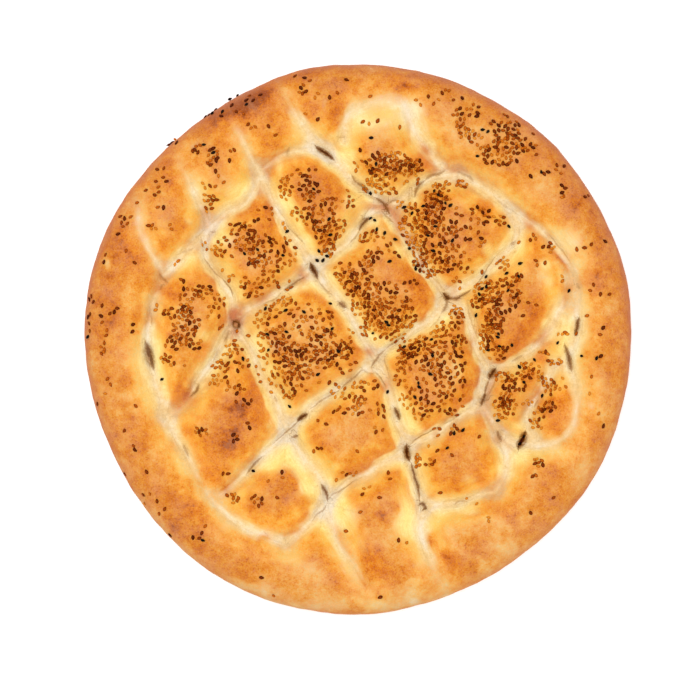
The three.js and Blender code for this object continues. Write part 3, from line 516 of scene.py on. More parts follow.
    (520, 520, 20, 8, -10, -12), (584, 430, 7, 20, 20, -16), (590, 395, 8, 18, 0, -12),
    (566, 303, 14, 14, 0, -24), (556, 276, 14, 6, 0, -14), (343, 222, 8, 20, -20, -14),
    (355, 335, 4, 4, 0, -10), (200, 178, 10, 16, 20, -14), (222, 200, 16, 8, -35, -16),
    (124, 208, 6, 20, 25, -8), (108, 262, 4, 10, 0, -18), (122, 290, 12, 12, 0, -10),
    (448, 122, 14, 20, 0, -12), (486, 178, 20, 10, 30, -10), (524, 196, 16, 14, 0, -12),
    (580, 340, 6, 30, 0, -12), (536, 468, 14, 10, 0, -8), (560, 455, 16, 8, 0, -14),
    (500, 520, 10, 8, 0, -8), (225, 460, 12, 10, 0, -4), (400, 590, 14, 6, 0, -10),
    (265, 590, 4, 12, 0, -14), (295, 455, 8, 8, 0, -10), (320, 395, 24, 5, -38, -10),
    (345, 330, 4, 6, 0, -6), (142, 215, 8, 18, 0, -16), (160, 210, 10, 8, 0, -10),
    (187, 215, 6, 8, 0, -10), (206, 188, 14, 7, 0, -10), (238, 181, 12, 13, 0, -18),
    (226, 240, 13, 9, 0, -26), (230, 264, 8, 14, -10, -16), (180, 264, 22, 10, 10, -12),
    (290, 203, 12, 8, 30, -22), (352, 198, 10, 13, 0, -13), (376, 180, 16, 6, 20, -14),
    (414, 196, 8, 8, 0, -12), (368, 130, 12, 7, 0, -14), (402, 155, 8, 6, 0, -12),
    (350, 155, 7, 7, 0, -14), (322, 150, 14, 6, 10, -8), (418, 107, 12, 8, 0, -14),
    (435, 130, 5, 10, 0, -8), (366, 86, 10, 7, 0, -14), (283, 93, 7, 10, 0, -13),
    (477, 134, 9, 10, 0, -14), (448, 187, 10, 5, 0, -15), (457, 205, 8, 12, 0, -10),
    (572, 232, 8, 10, 0, -14), (547, 280, 7, 13, 0, -20), (525, 262, 6, 10, 0, -12),
    (292, 297, 12, 8, 0, -20), (306, 318, 14, 9, -30, -10), (200, 331, 10, 12, 0, -20),
    (221, 352, 12, 7, -35, -20), (205, 378, 13, 15, 20, -15), (212, 404, 9, 8, 0, -10),
    (184, 418, 10, 5, -20, -12), (150, 345, 18, 14, 20, -12), (160, 311, 6, 10, 0, -10),
    (111, 352, 10, 18, 0, -9), (258, 340, 6, 22, 0, -12), (335, 395, 12, 8, 0, -14),
    (305, 412, 12, 7, 0, -12), (402, 410, 16, 13, 20, -15), (345, 425, 20, 12, 0, -6),
    (455, 368, 12, 10, 0, -13), (500, 375, 12, 8, 0, -13), (510, 412, 7, 10, 0, -13),
    (432, 330, 9, 6, -30, -10), (592, 352, 14, 14, 0, -14), (595, 378, 8, 12, 0, -10),
    (602, 304, 12, 14, 0, -8), (142, 398, 8, 24, -12, -15), (187, 466, 7, 12, -20, -15),
    (222, 452, 14, 8, 0, -13), (240, 494, 18, 7, -30, -15), (285, 460, 20, 8, 10, -22),
    (318, 488, 16, 8, 25, -20), (346, 512, 9, 15, -20, -22), (335, 465, 14, 6, 0, -8),
    (370, 449, 12, 6, 0, -12), (404, 508, 7, 24, 0, -25), (390, 545, 20, 10, 0, -10),
    (306, 568, 18, 9, 25, -22), (264, 588, 16, 7, 0, -15), (320, 602, 50, 7, 0, -9),
    (376, 602, 14, 6, 0, -14), (415, 588, 9, 18, 0, -26), (439, 583, 7, 12, 0, -16),
    (504, 545, 8, 10, 0, -18), (478, 568, 9, 8, 0, -14), (581, 468, 13, 8, -30, -13),
    (520, 462, 10, 12, 0, -9), (142, 215, 6, 14, 0, -8), (187, 218, 6, 8, 0, -8),
    (228, 187, 24, 6, -5, -10), (230, 264, 8, 12, -10, -8), (212, 335, 7, 10, 20, -14),
    (222, 352, 8, 10, -35, -14), (202, 380, 10, 14, 20, -10), (186, 412, 7, 7, 0, -10),
    (162, 314, 8, 8, 0, -10), (180, 311, 7, 6, 0, -10), (290, 290, 9, 7, 0, -10),
    (318, 276, 6, 6, 0, -10), (301, 325, 7, 7, 0, -14), (262, 358, 10, 8, 60, -8),
    (254, 325, 6, 7, 0, -8), (335, 468, 10, 7, 0, -10), (310, 488, 10, 9, 0, -10),
    (350, 524, 7, 10, 0, -12), (392, 490, 8, 7, 0, -8), (350, 156, 7, 6, 0, -10),
    (401, 157, 7, 5, 0, -12), (388, 120, 14, 7, -15, -10), (460, 370, 7, 12, 20, -10),
    (447, 370, 7, 7, 0, -8), (497, 374, 5, 6, 0, -10), (510, 405, 6, 9, 0, -9), (468, 478, 8, 8, 0, -14),
    (310, 576, 22, 9, 15, -12), (336, 556, 8, 5, 50, -12), (365, 590, 12, 6, 40, -12),
    (375, 602, 26, 6, 0, -10), (300, 604, 30, 5, 5, -10), (242, 588, 14, 6, 20, -8),
    (418, 600, 10, 6, 0, -10), (440, 592, 10, 6, 0, -8), (178, 545, 18, 5, 40, -10),
    (88, 375, 5, 14, 0, -10), (84, 308, 5, 10, 0, -8), (119, 456, 6, 14, -20, -8),
    (547, 280, 6, 12, 0, -8), (570, 488, 10, 7, -40, -9), (505, 540, 9, 9, 0, -10),
    (548, 352, 6, 5, 0, -8), (480, 568, 9, 8, 0, -6), (325, 395, 12, 10, 0, -6), (272, 330, 6, 8, 0, -8),
    (308, 408, 10, 8, 0, -8), (343, 352, 8, 7, 0, -7), (350, 388, 8, 6, 0, -8), (286, 200, 5, 8, 20, -8),
    (395, 156, 10, 7, 0, -10), (378, 150, 8, 7, 0, -6), (376, 181, 9, 5, 0, -6), (500, 125, 9, 7, 0, -6),
    (518, 140, 7, 8, 0, -8), (285, 97, 7, 6, 0, -7), (468, 208, 7, 8, 0, -10), (441, 230, 6, 8, 0, -7),
    (487, 250, 6, 7, 0, -8), (420, 196, 6, 6, 0, -7), (450, 185, 8, 4, 0, -7), (220, 246, 10, 6, 0, -7),
    (265, 257, 5, 7, 0, -8), (185, 265, 14, 10, 0, -6), (242, 285, 8, 7, 0, -6), (184, 318, 6, 9, 0, -8),
    (205, 335, 7, 9, 0, -10), (225, 352, 7, 6, -35, -13), (229, 389, 6, 6, 0, -12),
    (160, 412, 8, 8, 0, -5), (190, 472, 7, 9, 0, -6), (299, 331, 10, 7, 0, -8), (313, 348, 7, 6, 0, -8),
    (305, 362, 7, 6, 0, -8), (348, 356, 9, 7, 0, -9), (356, 408, 5, 9, 0, -14), (330, 402, 9, 6, 0, -8),
    (357, 388, 6, 6, 0, -9), (371, 284, 7, 6, 0, -11), (461, 372, 7, 8, 0, -12),
    (484, 300, 10, 6, 20, -11), (350, 490, 9, 6, 0, -8), (385, 500, 10, 7, 0, -6),
    (411, 463, 7, 6, 0, -6), (455, 538, 9, 10, 0, -9), (502, 540, 9, 10, 0, -5),
    (303, 580, 24, 13, 0, -13), (343, 567, 14, 8, 45, -10), (272, 560, 10, 9, 0, -8),
    (342, 598, 40, 7, 0, -10), (425, 575, 12, 9, 0, -9), (418, 598, 8, 7, 0, -13),
    (446, 591, 9, 7, 0, -9), (262, 594, 26, 5, 18, -12), (310, 608, 22, 4, 5, -9),
    (385, 607, 22, 5, -4, -10), (190, 551, 18, 6, 38, -9), (155, 520, 12, 4, 50, -7),
    (86, 309, 5, 11, 0, -10), (89, 372, 6, 12, 0, -11), (111, 262, 4, 9, 0, -8), (108, 304, 6, 6, 0, -7),
    (595, 351, 8, 6, 0, -9), (607, 364, 8, 7, 0, -9), (605, 413, 10, 8, 0, -9), (584, 470, 8, 10, 45, -7),
    (530, 486, 18, 12, 0, -6), (528, 230, 5, 5, 0, -5), (475, 568, 8, 7, 0, -8), (235, 586, 10, 6, 0, -7),
    (345, 440, 14, 16, 0, -4), (307, 365, 7, 7, 0, -13), (295, 362, 8, 5, 0, -5), (315, 325, 6, 6, 0, -8),
    (350, 330, 10, 7, 0, -5), (335, 345, 12, 5, 0, -5), (340, 358, 10, 5, 0, -6),
    (333, 400, 7, 9, -10, -6), (308, 390, 5, 6, 0, -7), (355, 410, 5, 6, 0, -6),
    (382, 418, 5, 14, 10, -6), (390, 445, 6, 6, 0, -6), (370, 452, 10, 6, 0, -9), (341, 468, 8, 7, 0, -8),
    (410, 463, 8, 6, 0, -6), (430, 460, 6, 6, 0, -4), (465, 385, 9, 14, 0, -9), (467, 362, 8, 8, 0, -6),
    (440, 365, 5, 6, 0, -9), (413, 257, 7, 7, 0, -5), (388, 250, 5, 8, 0, -7), (371, 265, 7, 5, 0, -8),
    (445, 232, 9, 8, 0, -8), (465, 205, 8, 14, 0, -7), (478, 192, 8, 10, 0, -5), (447, 185, 8, 5, 0, -6),
    (467, 148, 12, 9, 0, -6), (438, 155, 8, 6, 0, -4), (415, 200, 7, 6, 0, -5), (350, 205, 8, 9, 0, -5),
    (300, 210, 6, 7, 0, -5), (360, 133, 8, 8, 0, -5), (395, 135, 10, 12, 0, -6), (403, 155, 8, 8, 0, -8),
    (478, 103, 9, 7, 30, -10), (503, 125, 6, 8, 0, -10), (527, 147, 7, 6, 0, -7), (355, 83, 10, 6, 0, -6),
    (375, 85, 8, 6, 0, -5), (283, 100, 6, 8, -30, -8), (262, 93, 10, 5, -20, -4), (540, 247, 6, 8, 0, -8),
    (548, 262, 6, 8, 0, -8), (522, 273, 12, 7, -20, -7), (553, 287, 8, 9, 0, -6), (468, 297, 8, 6, 0, -7),
    (450, 315, 7, 6, 0, -5), (463, 338, 6, 7, 0, -7), (480, 342, 5, 7, 0, -7), (498, 325, 5, 7, 0, -8),
    (535, 330, 8, 6, 0, -5), (603, 335, 10, 9, 0, -5), (558, 385, 6, 9, 0, -9), (595, 405, 7, 6, 0, -5),
    (593, 370, 6, 8, 0, -4), (597, 455, 8, 14, 35, -8), (570, 492, 10, 7, 0, -5),
    (520, 430, 12, 6, 20, -4), (478, 423, 8, 6, 0, -6), (450, 415, 7, 6, 0, -5), (487, 452, 7, 8, 0, -6),
    (470, 483, 10, 7, 0, -4), (530, 500, 12, 10, 0, -4), (490, 520, 12, 8, 0, -6),
    (545, 530, 14, 5, -30, -5), (455, 533, 8, 12, 0, -6), (420, 562, 10, 8, 0, -6),
    (405, 540, 8, 8, 0, -2), (385, 553, 7, 6, 0, -4), (380, 498, 7, 7, 0, -6), (400, 487, 6, 6, 0, -4),
    (308, 495, 10, 5, -15, -6), (292, 515, 10, 10, -30, -9), (225, 525, 6, 7, 0, -5),
    (415, 600, 20, 6, -15, -6), (445, 593, 20, 6, -25, -7), (385, 608, 14, 5, 0, -6),
    (335, 608, 20, 5, 0, -6), (275, 602, 18, 5, 18, -8), (190, 470, 6, 10, 0, -5),
    (165, 440, 10, 12, 0, -3), (143, 468, 5, 5, 0, -6), (160, 413, 8, 8, 0, -5), (205, 405, 9, 10, 0, -4),
    (230, 343, 9, 5, -50, -6), (215, 368, 9, 5, -15, -5), (253, 355, 10, 12, 0, -4),
    (250, 378, 12, 6, 0, -4), (218, 308, 6, 12, 0, -7), (238, 305, 6, 6, 0, -5), (175, 308, 6, 8, 0, -6),
    (190, 260, 14, 9, 10, -4), (207, 278, 6, 6, 0, -6), (308, 288, 9, 5, 0, -3), (255, 275, 6, 7, 0, -5),
    (110, 260, 5, 10, 0, -8), (140, 282, 9, 6, 0, -5), (105, 308, 8, 6, 0, -4), (145, 222, 8, 6, 0, -4),
    (230, 192, 14, 6, 0, -2), (187, 150, 6, 14, 30, -4), (150, 160, 8, 8, -45, -5),
    (250, 165, 8, 10, 0, -4), (262, 195, 6, 12, -20, -4), (85, 365, 4, 10, 0, -5),
    (85, 310, 4, 10, 0, -4), (625, 295, 6, 16, 0, -4), (308, 368, 6, 8, 0, -8), (350, 330, 9, 6, 0, -3),
    (345, 360, 6, 10, -30, -8), (370, 385, 9, 5, 20, -8), (333, 395, 6, 7, 0, -4),
    (380, 415, 5, 12, 0, -4), (357, 415, 7, 14, 0, -4), (372, 452, 12, 5, -20, -8),
    (410, 462, 6, 6, 0, -6), (342, 468, 7, 7, 0, -5), (465, 375, 8, 12, 0, -11), (462, 340, 5, 8, 0, -8),
    (450, 310, 6, 8, 0, -5), (222, 318, 8, 6, -40, -9), (238, 305, 7, 5, -30, -7),
    (182, 313, 6, 7, 0, -8), (205, 325, 8, 12, 0, -4), (200, 345, 14, 5, -15, -4),
    (500, 283, 10, 5, 0, -6), (487, 298, 8, 6, 0, -7), (520, 292, 8, 5, 0, -5), (490, 145, 8, 6, 0, -9),
    (470, 127, 6, 5, 0, -8), (478, 103, 8, 7, 0, -5), (455, 152, 14, 8, 0, -5), (370, 170, 6, 12, 0, -6),
    (360, 127, 8, 6, 0, -3), (345, 220, 5, 12, 0, -6), (460, 205, 7, 5, 0, -6), (420, 200, 6, 5, 0, -4),
    (245, 228, 6, 5, 0, -7), (205, 207, 6, 7, 0, -5), (190, 225, 9, 5, 0, -4), (190, 145, 6, 14, 30, -4),
    (280, 262, 6, 9, 0, -6), (283, 335, 7, 5, 0, -5), (530, 425, 5, 8, 0, -6), (597, 455, 6, 12, 25, -5),
    (605, 412, 14, 6, 0, -4), (512, 375, 5, 8, 0, -5), (585, 355, 6, 8, 0, -4), (600, 315, 8, 7, 0, -4),
    (490, 520, 10, 6, 0, -5), (305, 340, 9, 7, 0, -6), (320, 312, 9, 7, 0, -6), (355, 333, 8, 6, 0, -4),
    (372, 287, 6, 5, 0, -9), (225, 315, 10, 6, -40, -6), (228, 383, 5, 5, 0, -7), (350, 353, 6, 7, 0, -5),
    (310, 385, 8, 7, 0, -5), (437, 385, 6, 6, 0, -7), (460, 345, 5, 7, 0, -5), (465, 380, 9, 9, 0, -4),
    (490, 152, 7, 7, 0, -6), (368, 170, 5, 9, 0, -5), (190, 155, 6, 10, 30, -5),
    (450, 228, 6, 8, -40, -5), (213, 188, 6, 6, 0, -5), (165, 205, 6, 5, 0, -5), (110, 268, 5, 7, 0, -4),
]

# Where sesame lies, in the photo's pixels: middle, half length, half width, turn in degrees, count
SESAME_CLUMPS = [
    (405, 172, 16, 5, 0, 9), (415, 240, 7, 8, 0, 7), (434, 272, 12, 7, 0, 9), (457, 283, 5, 9, 0, 5),
    (368, 320, 6, 6, 0, 5), (424, 402, 6, 7, 0, 4),
    # upper left, between the rim and the first pillows
    (213, 158, 6, 9, 0, 14), (198, 150, 6, 4, -40, 6), (222, 165, 9, 10, 0, 3), (221, 181, 12, 5, 0, 3),
    (210, 186, 8, 3, 0, 5), (211, 198, 9, 4, 0, 8), (209, 206, 5, 6, 0, 5), (231, 152, 4, 5, 0, 2),
    (160, 176, 10, 8, 60, 6), (155, 192, 9, 7, 0, 5), (176, 145, 15, 5, -40, 5), (150, 212, 22, 11, 0, 4),
    (155, 229, 6, 3, 30, 5), (124, 221, 6, 10, 60, 4), (170, 228, 10, 8, 0, 3), (238, 104, 26, 8, -25, 9),
    (214, 114, 10, 6, -30, 4), (268, 130, 16, 7, 0, 5), (252, 120, 12, 8, 0, 2), (120, 230, 4, 6, 60, 3),
    (130, 266, 26, 18, 0, 3),
    # top
    (303, 91, 5, 5, 0, 6), (298, 80, 14, 4, 0, 4), (317, 96, 4, 4, 0, 2), (313, 116, 8, 8, 0, 3),
    (330, 101, 3, 3, 0, 1), (345, 90, 20, 10, 0, 2), (370, 96, 3, 3, 0, 1), (388, 164, 26, 9, 0, 40),
    (384, 171, 15, 8, 0, 24), (405, 168, 14, 8, 0, 26), (378, 182, 12, 6, 0, 16),
    (390, 157, 18, 4, 0, 14), (416, 168, 7, 7, 0, 9), (386, 192, 10, 4, 0, 8), (370, 186, 8, 8, 0, 8),
    (358, 160, 4, 12, 0, 5), (378, 128, 26, 14, 0, 5), (405, 180, 14, 6, 0, 6), (425, 105, 16, 8, 0, 4),
    (442, 100, 26, 12, 0, 6),
    # pillow at the upper middle
    (287, 190, 8, 12, 0, 18), (296, 178, 13, 8, 0, 9), (310, 193, 10, 11, 30, 20),
    (313, 216, 12, 10, 0, 20), (330, 206, 10, 8, 0, 12), (325, 232, 12, 14, 0, 30),
    (333, 226, 12, 14, 0, 16), (346, 200, 5, 9, 0, 6), (327, 250, 8, 8, 0, 15), (310, 173, 10, 7, 0, 4),
    (355, 204, 4, 5, 0, 3), (298, 212, 7, 9, 0, 7), (284, 225, 4, 4, 0, 2),
    # pillow at the upper left
    (240, 228, 12, 7, 0, 15), (250, 243, 14, 12, 0, 34), (264, 249, 16, 13, 0, 16),
    (257, 260, 9, 8, 0, 16), (254, 287, 14, 11, 0, 26), (270, 273, 11, 11, 0, 15),
    (280, 260, 15, 13, 0, 12), (262, 215, 12, 11, 0, 8), (214, 245, 12, 7, 0, 11), (221, 252, 6, 5, 0, 8),
    (290, 250, 9, 13, 0, 7), (228, 270, 8, 16, 0, 6), (285, 285, 9, 7, 0, 6), (229, 240, 6, 6, 0, 5),
    # pillow at the upper right
    (434, 203, 12, 13, 0, 54), (426, 225, 14, 13, 0, 52), (447, 215, 14, 16, 0, 10),
    (409, 220, 8, 18, 20, 24), (436, 248, 16, 14, 0, 26), (428, 264, 14, 12, 0, 30),
    (465, 226, 15, 18, 0, 13), (480, 214, 12, 12, 0, 14), (498, 220, 6, 8, 0, 8),
    (470, 246, 18, 12, 0, 11), (457, 262, 17, 9, 0, 11), (440, 190, 12, 7, -30, 14),
    (462, 185, 7, 4, 0, 7), (446, 235, 10, 18, 0, 9), (415, 243, 9, 13, 0, 20), (400, 206, 5, 5, 0, 5),
    (443, 262, 12, 10, 0, 9), (470, 270, 12, 6, 0, 5),
    # the rim at the upper right
    (459, 119, 7, 9, 0, 14), (465, 133, 8, 7, 0, 12), (473, 111, 7, 8, 0, 8), (473, 137, 7, 7, 0, 5),
    (505, 145, 12, 15, 0, 38), (488, 152, 13, 6, 0, 10), (500, 163, 18, 4, 0, 15),
    (511, 130, 8, 9, 0, 13), (521, 147, 9, 7, -30, 12), (495, 128, 9, 6, 0, 7), (478, 146, 10, 8, 0, 3),
    (535, 146, 6, 14, 0, 5), (544, 172, 7, 5, 0, 3), (560, 165, 6, 12, 0, 5), (562, 194, 3, 8, 0, 6),
    (452, 103, 14, 8, 0, 3), (586, 188, 8, 10, 0, 2), (529, 178, 3, 3, 0, 1), (508, 114, 6, 4, 0, 2),
    # around the small pillow at the right
    (503, 264, 8, 6, 0, 14), (520, 240, 10, 9, 0, 2), (547, 248, 9, 5, 0, 7), (540, 265, 14, 5, 0, 4),
    (562, 279, 5, 5, 0, 2), (588, 284, 5, 8, 0, 3), (532, 240, 6, 6, 0, 3),
    # the middle pillow
    (372, 237, 13, 5, -10, 16), (370, 260, 14, 11, 0, 14), (345, 272, 11, 9, 0, 20),
    (352, 284, 11, 11, 0, 26), (365, 271, 7, 15, 0, 15), (367, 292, 12, 11, 0, 28),
    (375, 308, 14, 11, 0, 34), (388, 318, 18, 11, 0, 38), (378, 330, 18, 9, 0, 24),
    (405, 317, 11, 11, 0, 22), (400, 298, 13, 9, 0, 12), (385, 290, 14, 7, 0, 9), (410, 285, 7, 9, 0, 5),
    (357, 308, 7, 8, 0, 9), (392, 262, 12, 14, 0, 4), (396, 335, 10, 6, 0, 9), (386, 250, 8, 8, 0, 5),
    # the pillow left of the middle
    (285, 302, 9, 5, 0, 12), (271, 312, 7, 9, 0, 12), (262, 322, 7, 12, 0, 12), (300, 313, 20, 9, 0, 19),
    (320, 318, 16, 11, 0, 12), (300, 332, 26, 9, 0, 18), (322, 339, 14, 12, 0, 24),
    (276, 333, 11, 7, 0, 14), (350, 340, 7, 11, 0, 9), (343, 350, 11, 9, 0, 20), (270, 348, 10, 9, 0, 12),
    (289, 351, 14, 11, 0, 34), (305, 355, 12, 11, 0, 21), (318, 364, 12, 11, 0, 11),
    (330, 355, 11, 12, 0, 14), (284, 370, 12, 11, 0, 26), (300, 372, 14, 7, 0, 14),
    (290, 390, 9, 9, 0, 16), (318, 386, 18, 8, 0, 7), (345, 365, 12, 9, 0, 6), (262, 340, 5, 8, 0, 6),
    (262, 364, 6, 9, 0, 6), (272, 385, 6, 8, 0, 4),
    # the pillow right of the middle
    (410, 349, 11, 9, 0, 33), (404, 364, 8, 10, 0, 16), (425, 345, 11, 9, 0, 20),
    (441, 334, 10, 5, 0, 13), (446, 327, 9, 5, 0, 9), (456, 318, 7, 12, 0, 18), (430, 361, 14, 12, 0, 28),
    (440, 375, 14, 11, 0, 17), (417, 385, 14, 9, 0, 12), (411, 400, 11, 10, 0, 13),
    (430, 402, 14, 9, 0, 13), (445, 390, 12, 12, 0, 11), (450, 350, 12, 12, 0, 20),
    (456, 370, 10, 14, 0, 11), (420, 415, 10, 4, 0, 7), (448, 412, 11, 5, 0, 9), (462, 394, 7, 14, 0, 6),
    (460, 340, 7, 5, 0, 10), (398, 375, 4, 10, 0, 5),
    # the pillow at the right
    (485, 289, 13, 7, -20, 24), (479, 301, 9, 7, 0, 13), (494, 298, 11, 9, 0, 18),
    (494, 318, 9, 11, 0, 30), (490, 332, 12, 9, 0, 28), (486, 345, 9, 7, 0, 11), (500, 350, 8, 7, 0, 10),
    (507, 305, 8, 9, 0, 7), (504, 285, 9, 6, 0, 10), (514, 294, 6, 5, 0, 8), (514, 279, 8, 4, -30, 8),
    (522, 300, 14, 12, 0, 4), (496, 357, 8, 4, 0, 4), (521, 318, 3, 3, 0, 1),
    # two small pillows at the lower right
    (525, 371, 9, 8, 0, 20), (505, 377, 11, 5, 0, 16), (507, 394, 9, 11, 0, 24), (500, 410, 8, 11, 0, 20),
    (520, 386, 7, 5, 0, 5), (525, 403, 7, 3, 0, 5), (541, 373, 6, 9, 0, 7), (509, 407, 7, 8, 0, 9),
    (543, 353, 5, 3, 0, 5), (554, 362, 7, 3, 0, 9), (562, 334, 5, 3, 0, 5), (549, 386, 6, 9, -30, 16),
    (548, 406, 6, 5, 0, 14), (537, 421, 7, 9, 0, 13), (560, 384, 7, 6, 0, 4), (540, 411, 5, 4, 0, 4),
    # the rim at the right
    (592, 340, 16, 26, 0, 5), (598, 380, 16, 26, 0, 4), (604, 300, 8, 14, 0, 3), (600, 420, 8, 16, 0, 2),
    (574, 240, 12, 18, 0, 2), (598, 245, 8, 22, 0, 3),
    # the pillow at the left
    (189, 300, 8, 13, 0, 19), (186, 313, 8, 8, 0, 17), (205, 292, 10, 7, 0, 17), (195, 325, 9, 6, 0, 11),
    (181, 338, 11, 7, 0, 18), (174, 345, 9, 7, 0, 5), (171, 314, 11, 5, -20, 9), (184, 330, 13, 11, 0, 8),
    (214, 310, 7, 12, 0, 9), (220, 300, 8, 9, 0, 6), (195, 344, 7, 11, 0, 7), (165, 359, 4, 6, 0, 6),
    (180, 360, 11, 9, 0, 5), (160, 308, 4, 5, 0, 3), (222, 328, 4, 6, 0, 3), (182, 280, 4, 3, 0, 2),
    (175, 263, 5, 3, 0, 3),
    # the pillow below it
    (233, 351, 11, 7, 0, 16), (225, 365, 12, 7, 0, 14), (218, 380, 11, 5, 0, 12), (245, 365, 11, 7, 0, 6),
    (238, 389, 13, 4, 0, 9), (255, 380, 18, 7, 0, 4), (240, 335, 9, 9, 0, 4), (245, 402, 8, 3, 0, 6),
    (250, 425, 6, 6, 0, 2), (204, 431, 8, 6, 0, 8), (235, 438, 3, 5, 0, 5),
    # the rim at the left
    (104, 330, 6, 24, 0, 8), (91, 330, 3, 18, 0, 5), (104, 350, 3, 4, 0, 4), (115, 312, 5, 5, 0, 4),
    (108, 384, 12, 10, 0, 4), (136, 330, 10, 6, 0, 2), (112, 262, 14, 12, 0, 3), (93, 300, 3, 14, 0, 4),
    (98, 405, 4, 4, 0, 1), (137, 409, 5, 4, 0, 1), (125, 222, 5, 5, 0, 2),
    # the rim at the lower left
    (140, 436, 16, 12, 0, 3), (136, 462, 16, 16, 0, 4), (150, 496, 14, 14, 0, 5), (196, 530, 14, 9, 0, 5),
    (172, 532, 8, 4, 0, 1), (225, 473, 4, 3, 0, 3), (235, 498, 4, 5, 0, 9), (257, 500, 6, 6, 0, 8),
    (227, 494, 2, 3, 0, 1), (160, 508, 8, 8, 0, 2),
    # the lower pillows
    (277, 497, 2, 2, 0, 1), (268, 482, 2, 2, 0, 1), (283, 472, 3, 5, 0, 3), (262, 576, 2, 2, 0, 1),
    (275, 596, 2, 2, 0, 1), (318, 450, 9, 6, 0, 4), (350, 473, 8, 3, 0, 7), (344, 392, 13, 7, 0, 12),
    (358, 400, 7, 5, 0, 10), (366, 385, 12, 6, 0, 12), (378, 410, 9, 8, 0, 8), (342, 410, 14, 6, 0, 8),
    (355, 411, 8, 5, 0, 6), (320, 424, 8, 4, 0, 2), (380, 430, 8, 5, 0, 4), (366, 490, 6, 5, 0, 4),
    (380, 496, 2, 2, 0, 1), (362, 511, 2, 2, 0, 1), (395, 475, 8, 5, 0, 2), (398, 537, 2, 2, 0, 1),
    (406, 543, 2, 2, 0, 1), (380, 597, 2, 2, 0, 1), (358, 452, 2, 2, 0, 1), (336, 480, 2, 2, 0, 1),
    (430, 462, 6, 4, 0, 6), (418, 461, 3, 8, 0, 8), (430, 450, 7, 4, 0, 3), (440, 431, 7, 7, 0, 4),
    (455, 430, 6, 5, 0, 6), (450, 455, 2, 2, 0, 1), (438, 493, 2, 2, 0, 1), (480, 437, 2, 2, 0, 1),
    (537, 462, 6, 4, 0, 8), (533, 475, 2, 2, 0, 2), (487, 518, 3, 2, 0, 2), (466, 500, 2, 2, 0, 1),
    (476, 502, 2, 2, 0, 1), (531, 512, 2, 2, 0, 1), (553, 495, 2, 2, 0, 1), (330, 560, 60, 30, 0, 1),
]

# Where each black cumin seed lies, in the photo's pixels
NIGELLA_SEEDS = [
    (205, 146), (214, 154), (245, 254), (258, 250), (283, 256), (287, 232), (266, 309), (243, 359),
    (163, 379), (268, 334), (269, 350), (290, 406), (254, 471), (204, 539), (319, 251), (323, 260),
    (317, 260), (327, 256), (371, 139), (376, 165), (371, 193), (371, 219), (375, 221), (377, 230),
    (384, 234), (395, 240), (409, 249), (314, 190), (329, 220), (330, 235), (389, 262), (433, 251),
    (415, 269), (330, 304), (304, 312), (286, 311), (287, 332), (332, 329), (338, 351), (318, 374),
    (388, 325), (386, 322), (373, 333), (404, 208), (412, 214), (423, 207), (434, 192), (438, 196),
    (445, 204), (450, 206), (428, 236), (452, 241), (435, 227), (482, 131), (487, 133), (477, 157),
    (540, 173), (508, 227), (520, 264), (506, 274), (518, 277), (486, 277), (486, 287), (482, 289),
    (507, 291), (479, 295), (476, 315), (498, 334), (497, 337), (488, 350), (499, 346), (511, 345),
    (534, 360), (519, 367), (523, 382), (542, 396), (557, 343), (595, 358), (581, 356), (568, 291),
    (431, 340), (432, 355), (430, 374), (418, 383), (419, 387), (387, 392), (404, 347), (415, 397),
    (454, 433), (463, 430), (447, 448), (524, 436), (520, 444), (498, 420), (89, 337), (213, 114),
    (223, 113), (238, 96), (247, 106), (230, 99),
]

# Fineness of the loaf's mesh, as rings round its middle
COARSE_RINGS = 43
RING_SPLITS = 4
RING_COUNT = COARSE_RINGS * RING_SPLITS
TOP_RINGS = 130
SHOULDER_RINGS = 28
FOOT_RINGS = RING_COUNT - TOP_RINGS - SHOULDER_RINGS
UNDERSIDE_STEPS = (0.93, 0.85, 0.75, 0.6)

# The flat disc's six sectors: how wide each is, and where the first starts
SECTOR = math.radians(60)
SECTOR_START = math.radians(30)

# The crust's browning, from 0 for pale gold to 1 for scorched, away from the patches
CRUST_BROWNING = 0.61
HALO_PALING = 0.27
RIM_HALO_SHARE = 0.25
EDGE_LINE_BROWNING = 0.18
LATTICE_END_RADII = (108, 130)
RIM_BROWNING = 0.02
RIM_RADII = (112, 132)
BACK_EDGE_DARKENING = 0.13
FRONT_EDGE_PALING = 0.06
EDGE_RADII = (124, 138)
EDGE_FRONT_TO_BACK = (-120, 30)
DARK_START = 0.68
DARK_SHARE = 0.65
BASE_BROWNING = 0.66
BASE_HEIGHT = 2
UNDERSIDE_HEIGHT = 0.5
LEAST_BROWNING = 0.02
CREAM_MILK = 0.5

# The painted pinkish reflection on the side wall, by height, and how it grows from the front to the back
SIDE_HEIGHTS = (11, 21)
FRONT_SIDE_SHARE = 0.35
SIDE_FRONT_TO_BACK = (-120, 20)

# The seeds' sizes in millimetres, how near each other sesame may lie and how often a place is drawn
SESAME_HALF_SIZE = (1.32, 0.87, 0.43)
NIGELLA_HALF_SIZE = (1.3, 0.8, 0.62)
ROOMY_GAP = 1.75
SESAME_GAP = 1.25
ROOMY_TRIES = 9
ALL_TRIES = 16
CLUMP_SPREAD = 1.04
SEED_SHARE = 0.82
CLUMP_POWER = 0.55
SEED_REACH_LIMIT = 139

# The seeds' narrow tips, how proud they lie, the fineness of their mesh, and how they are varied
SESAME_TIP = 0.72
SESAME_PROUD = 0.2
NIGELLA_TIP = 0.6
NIGELLA_PROUD = 0.45
SEED_SEGMENTS = 8
SEED_RINGS = 6
TIP_START = 0.45
SLOPE_REACH = 0.6
SEED_ROCK = 0.5
SMALLEST_SEED = 0.84
SEED_SIZE_SPREAD = 0.3

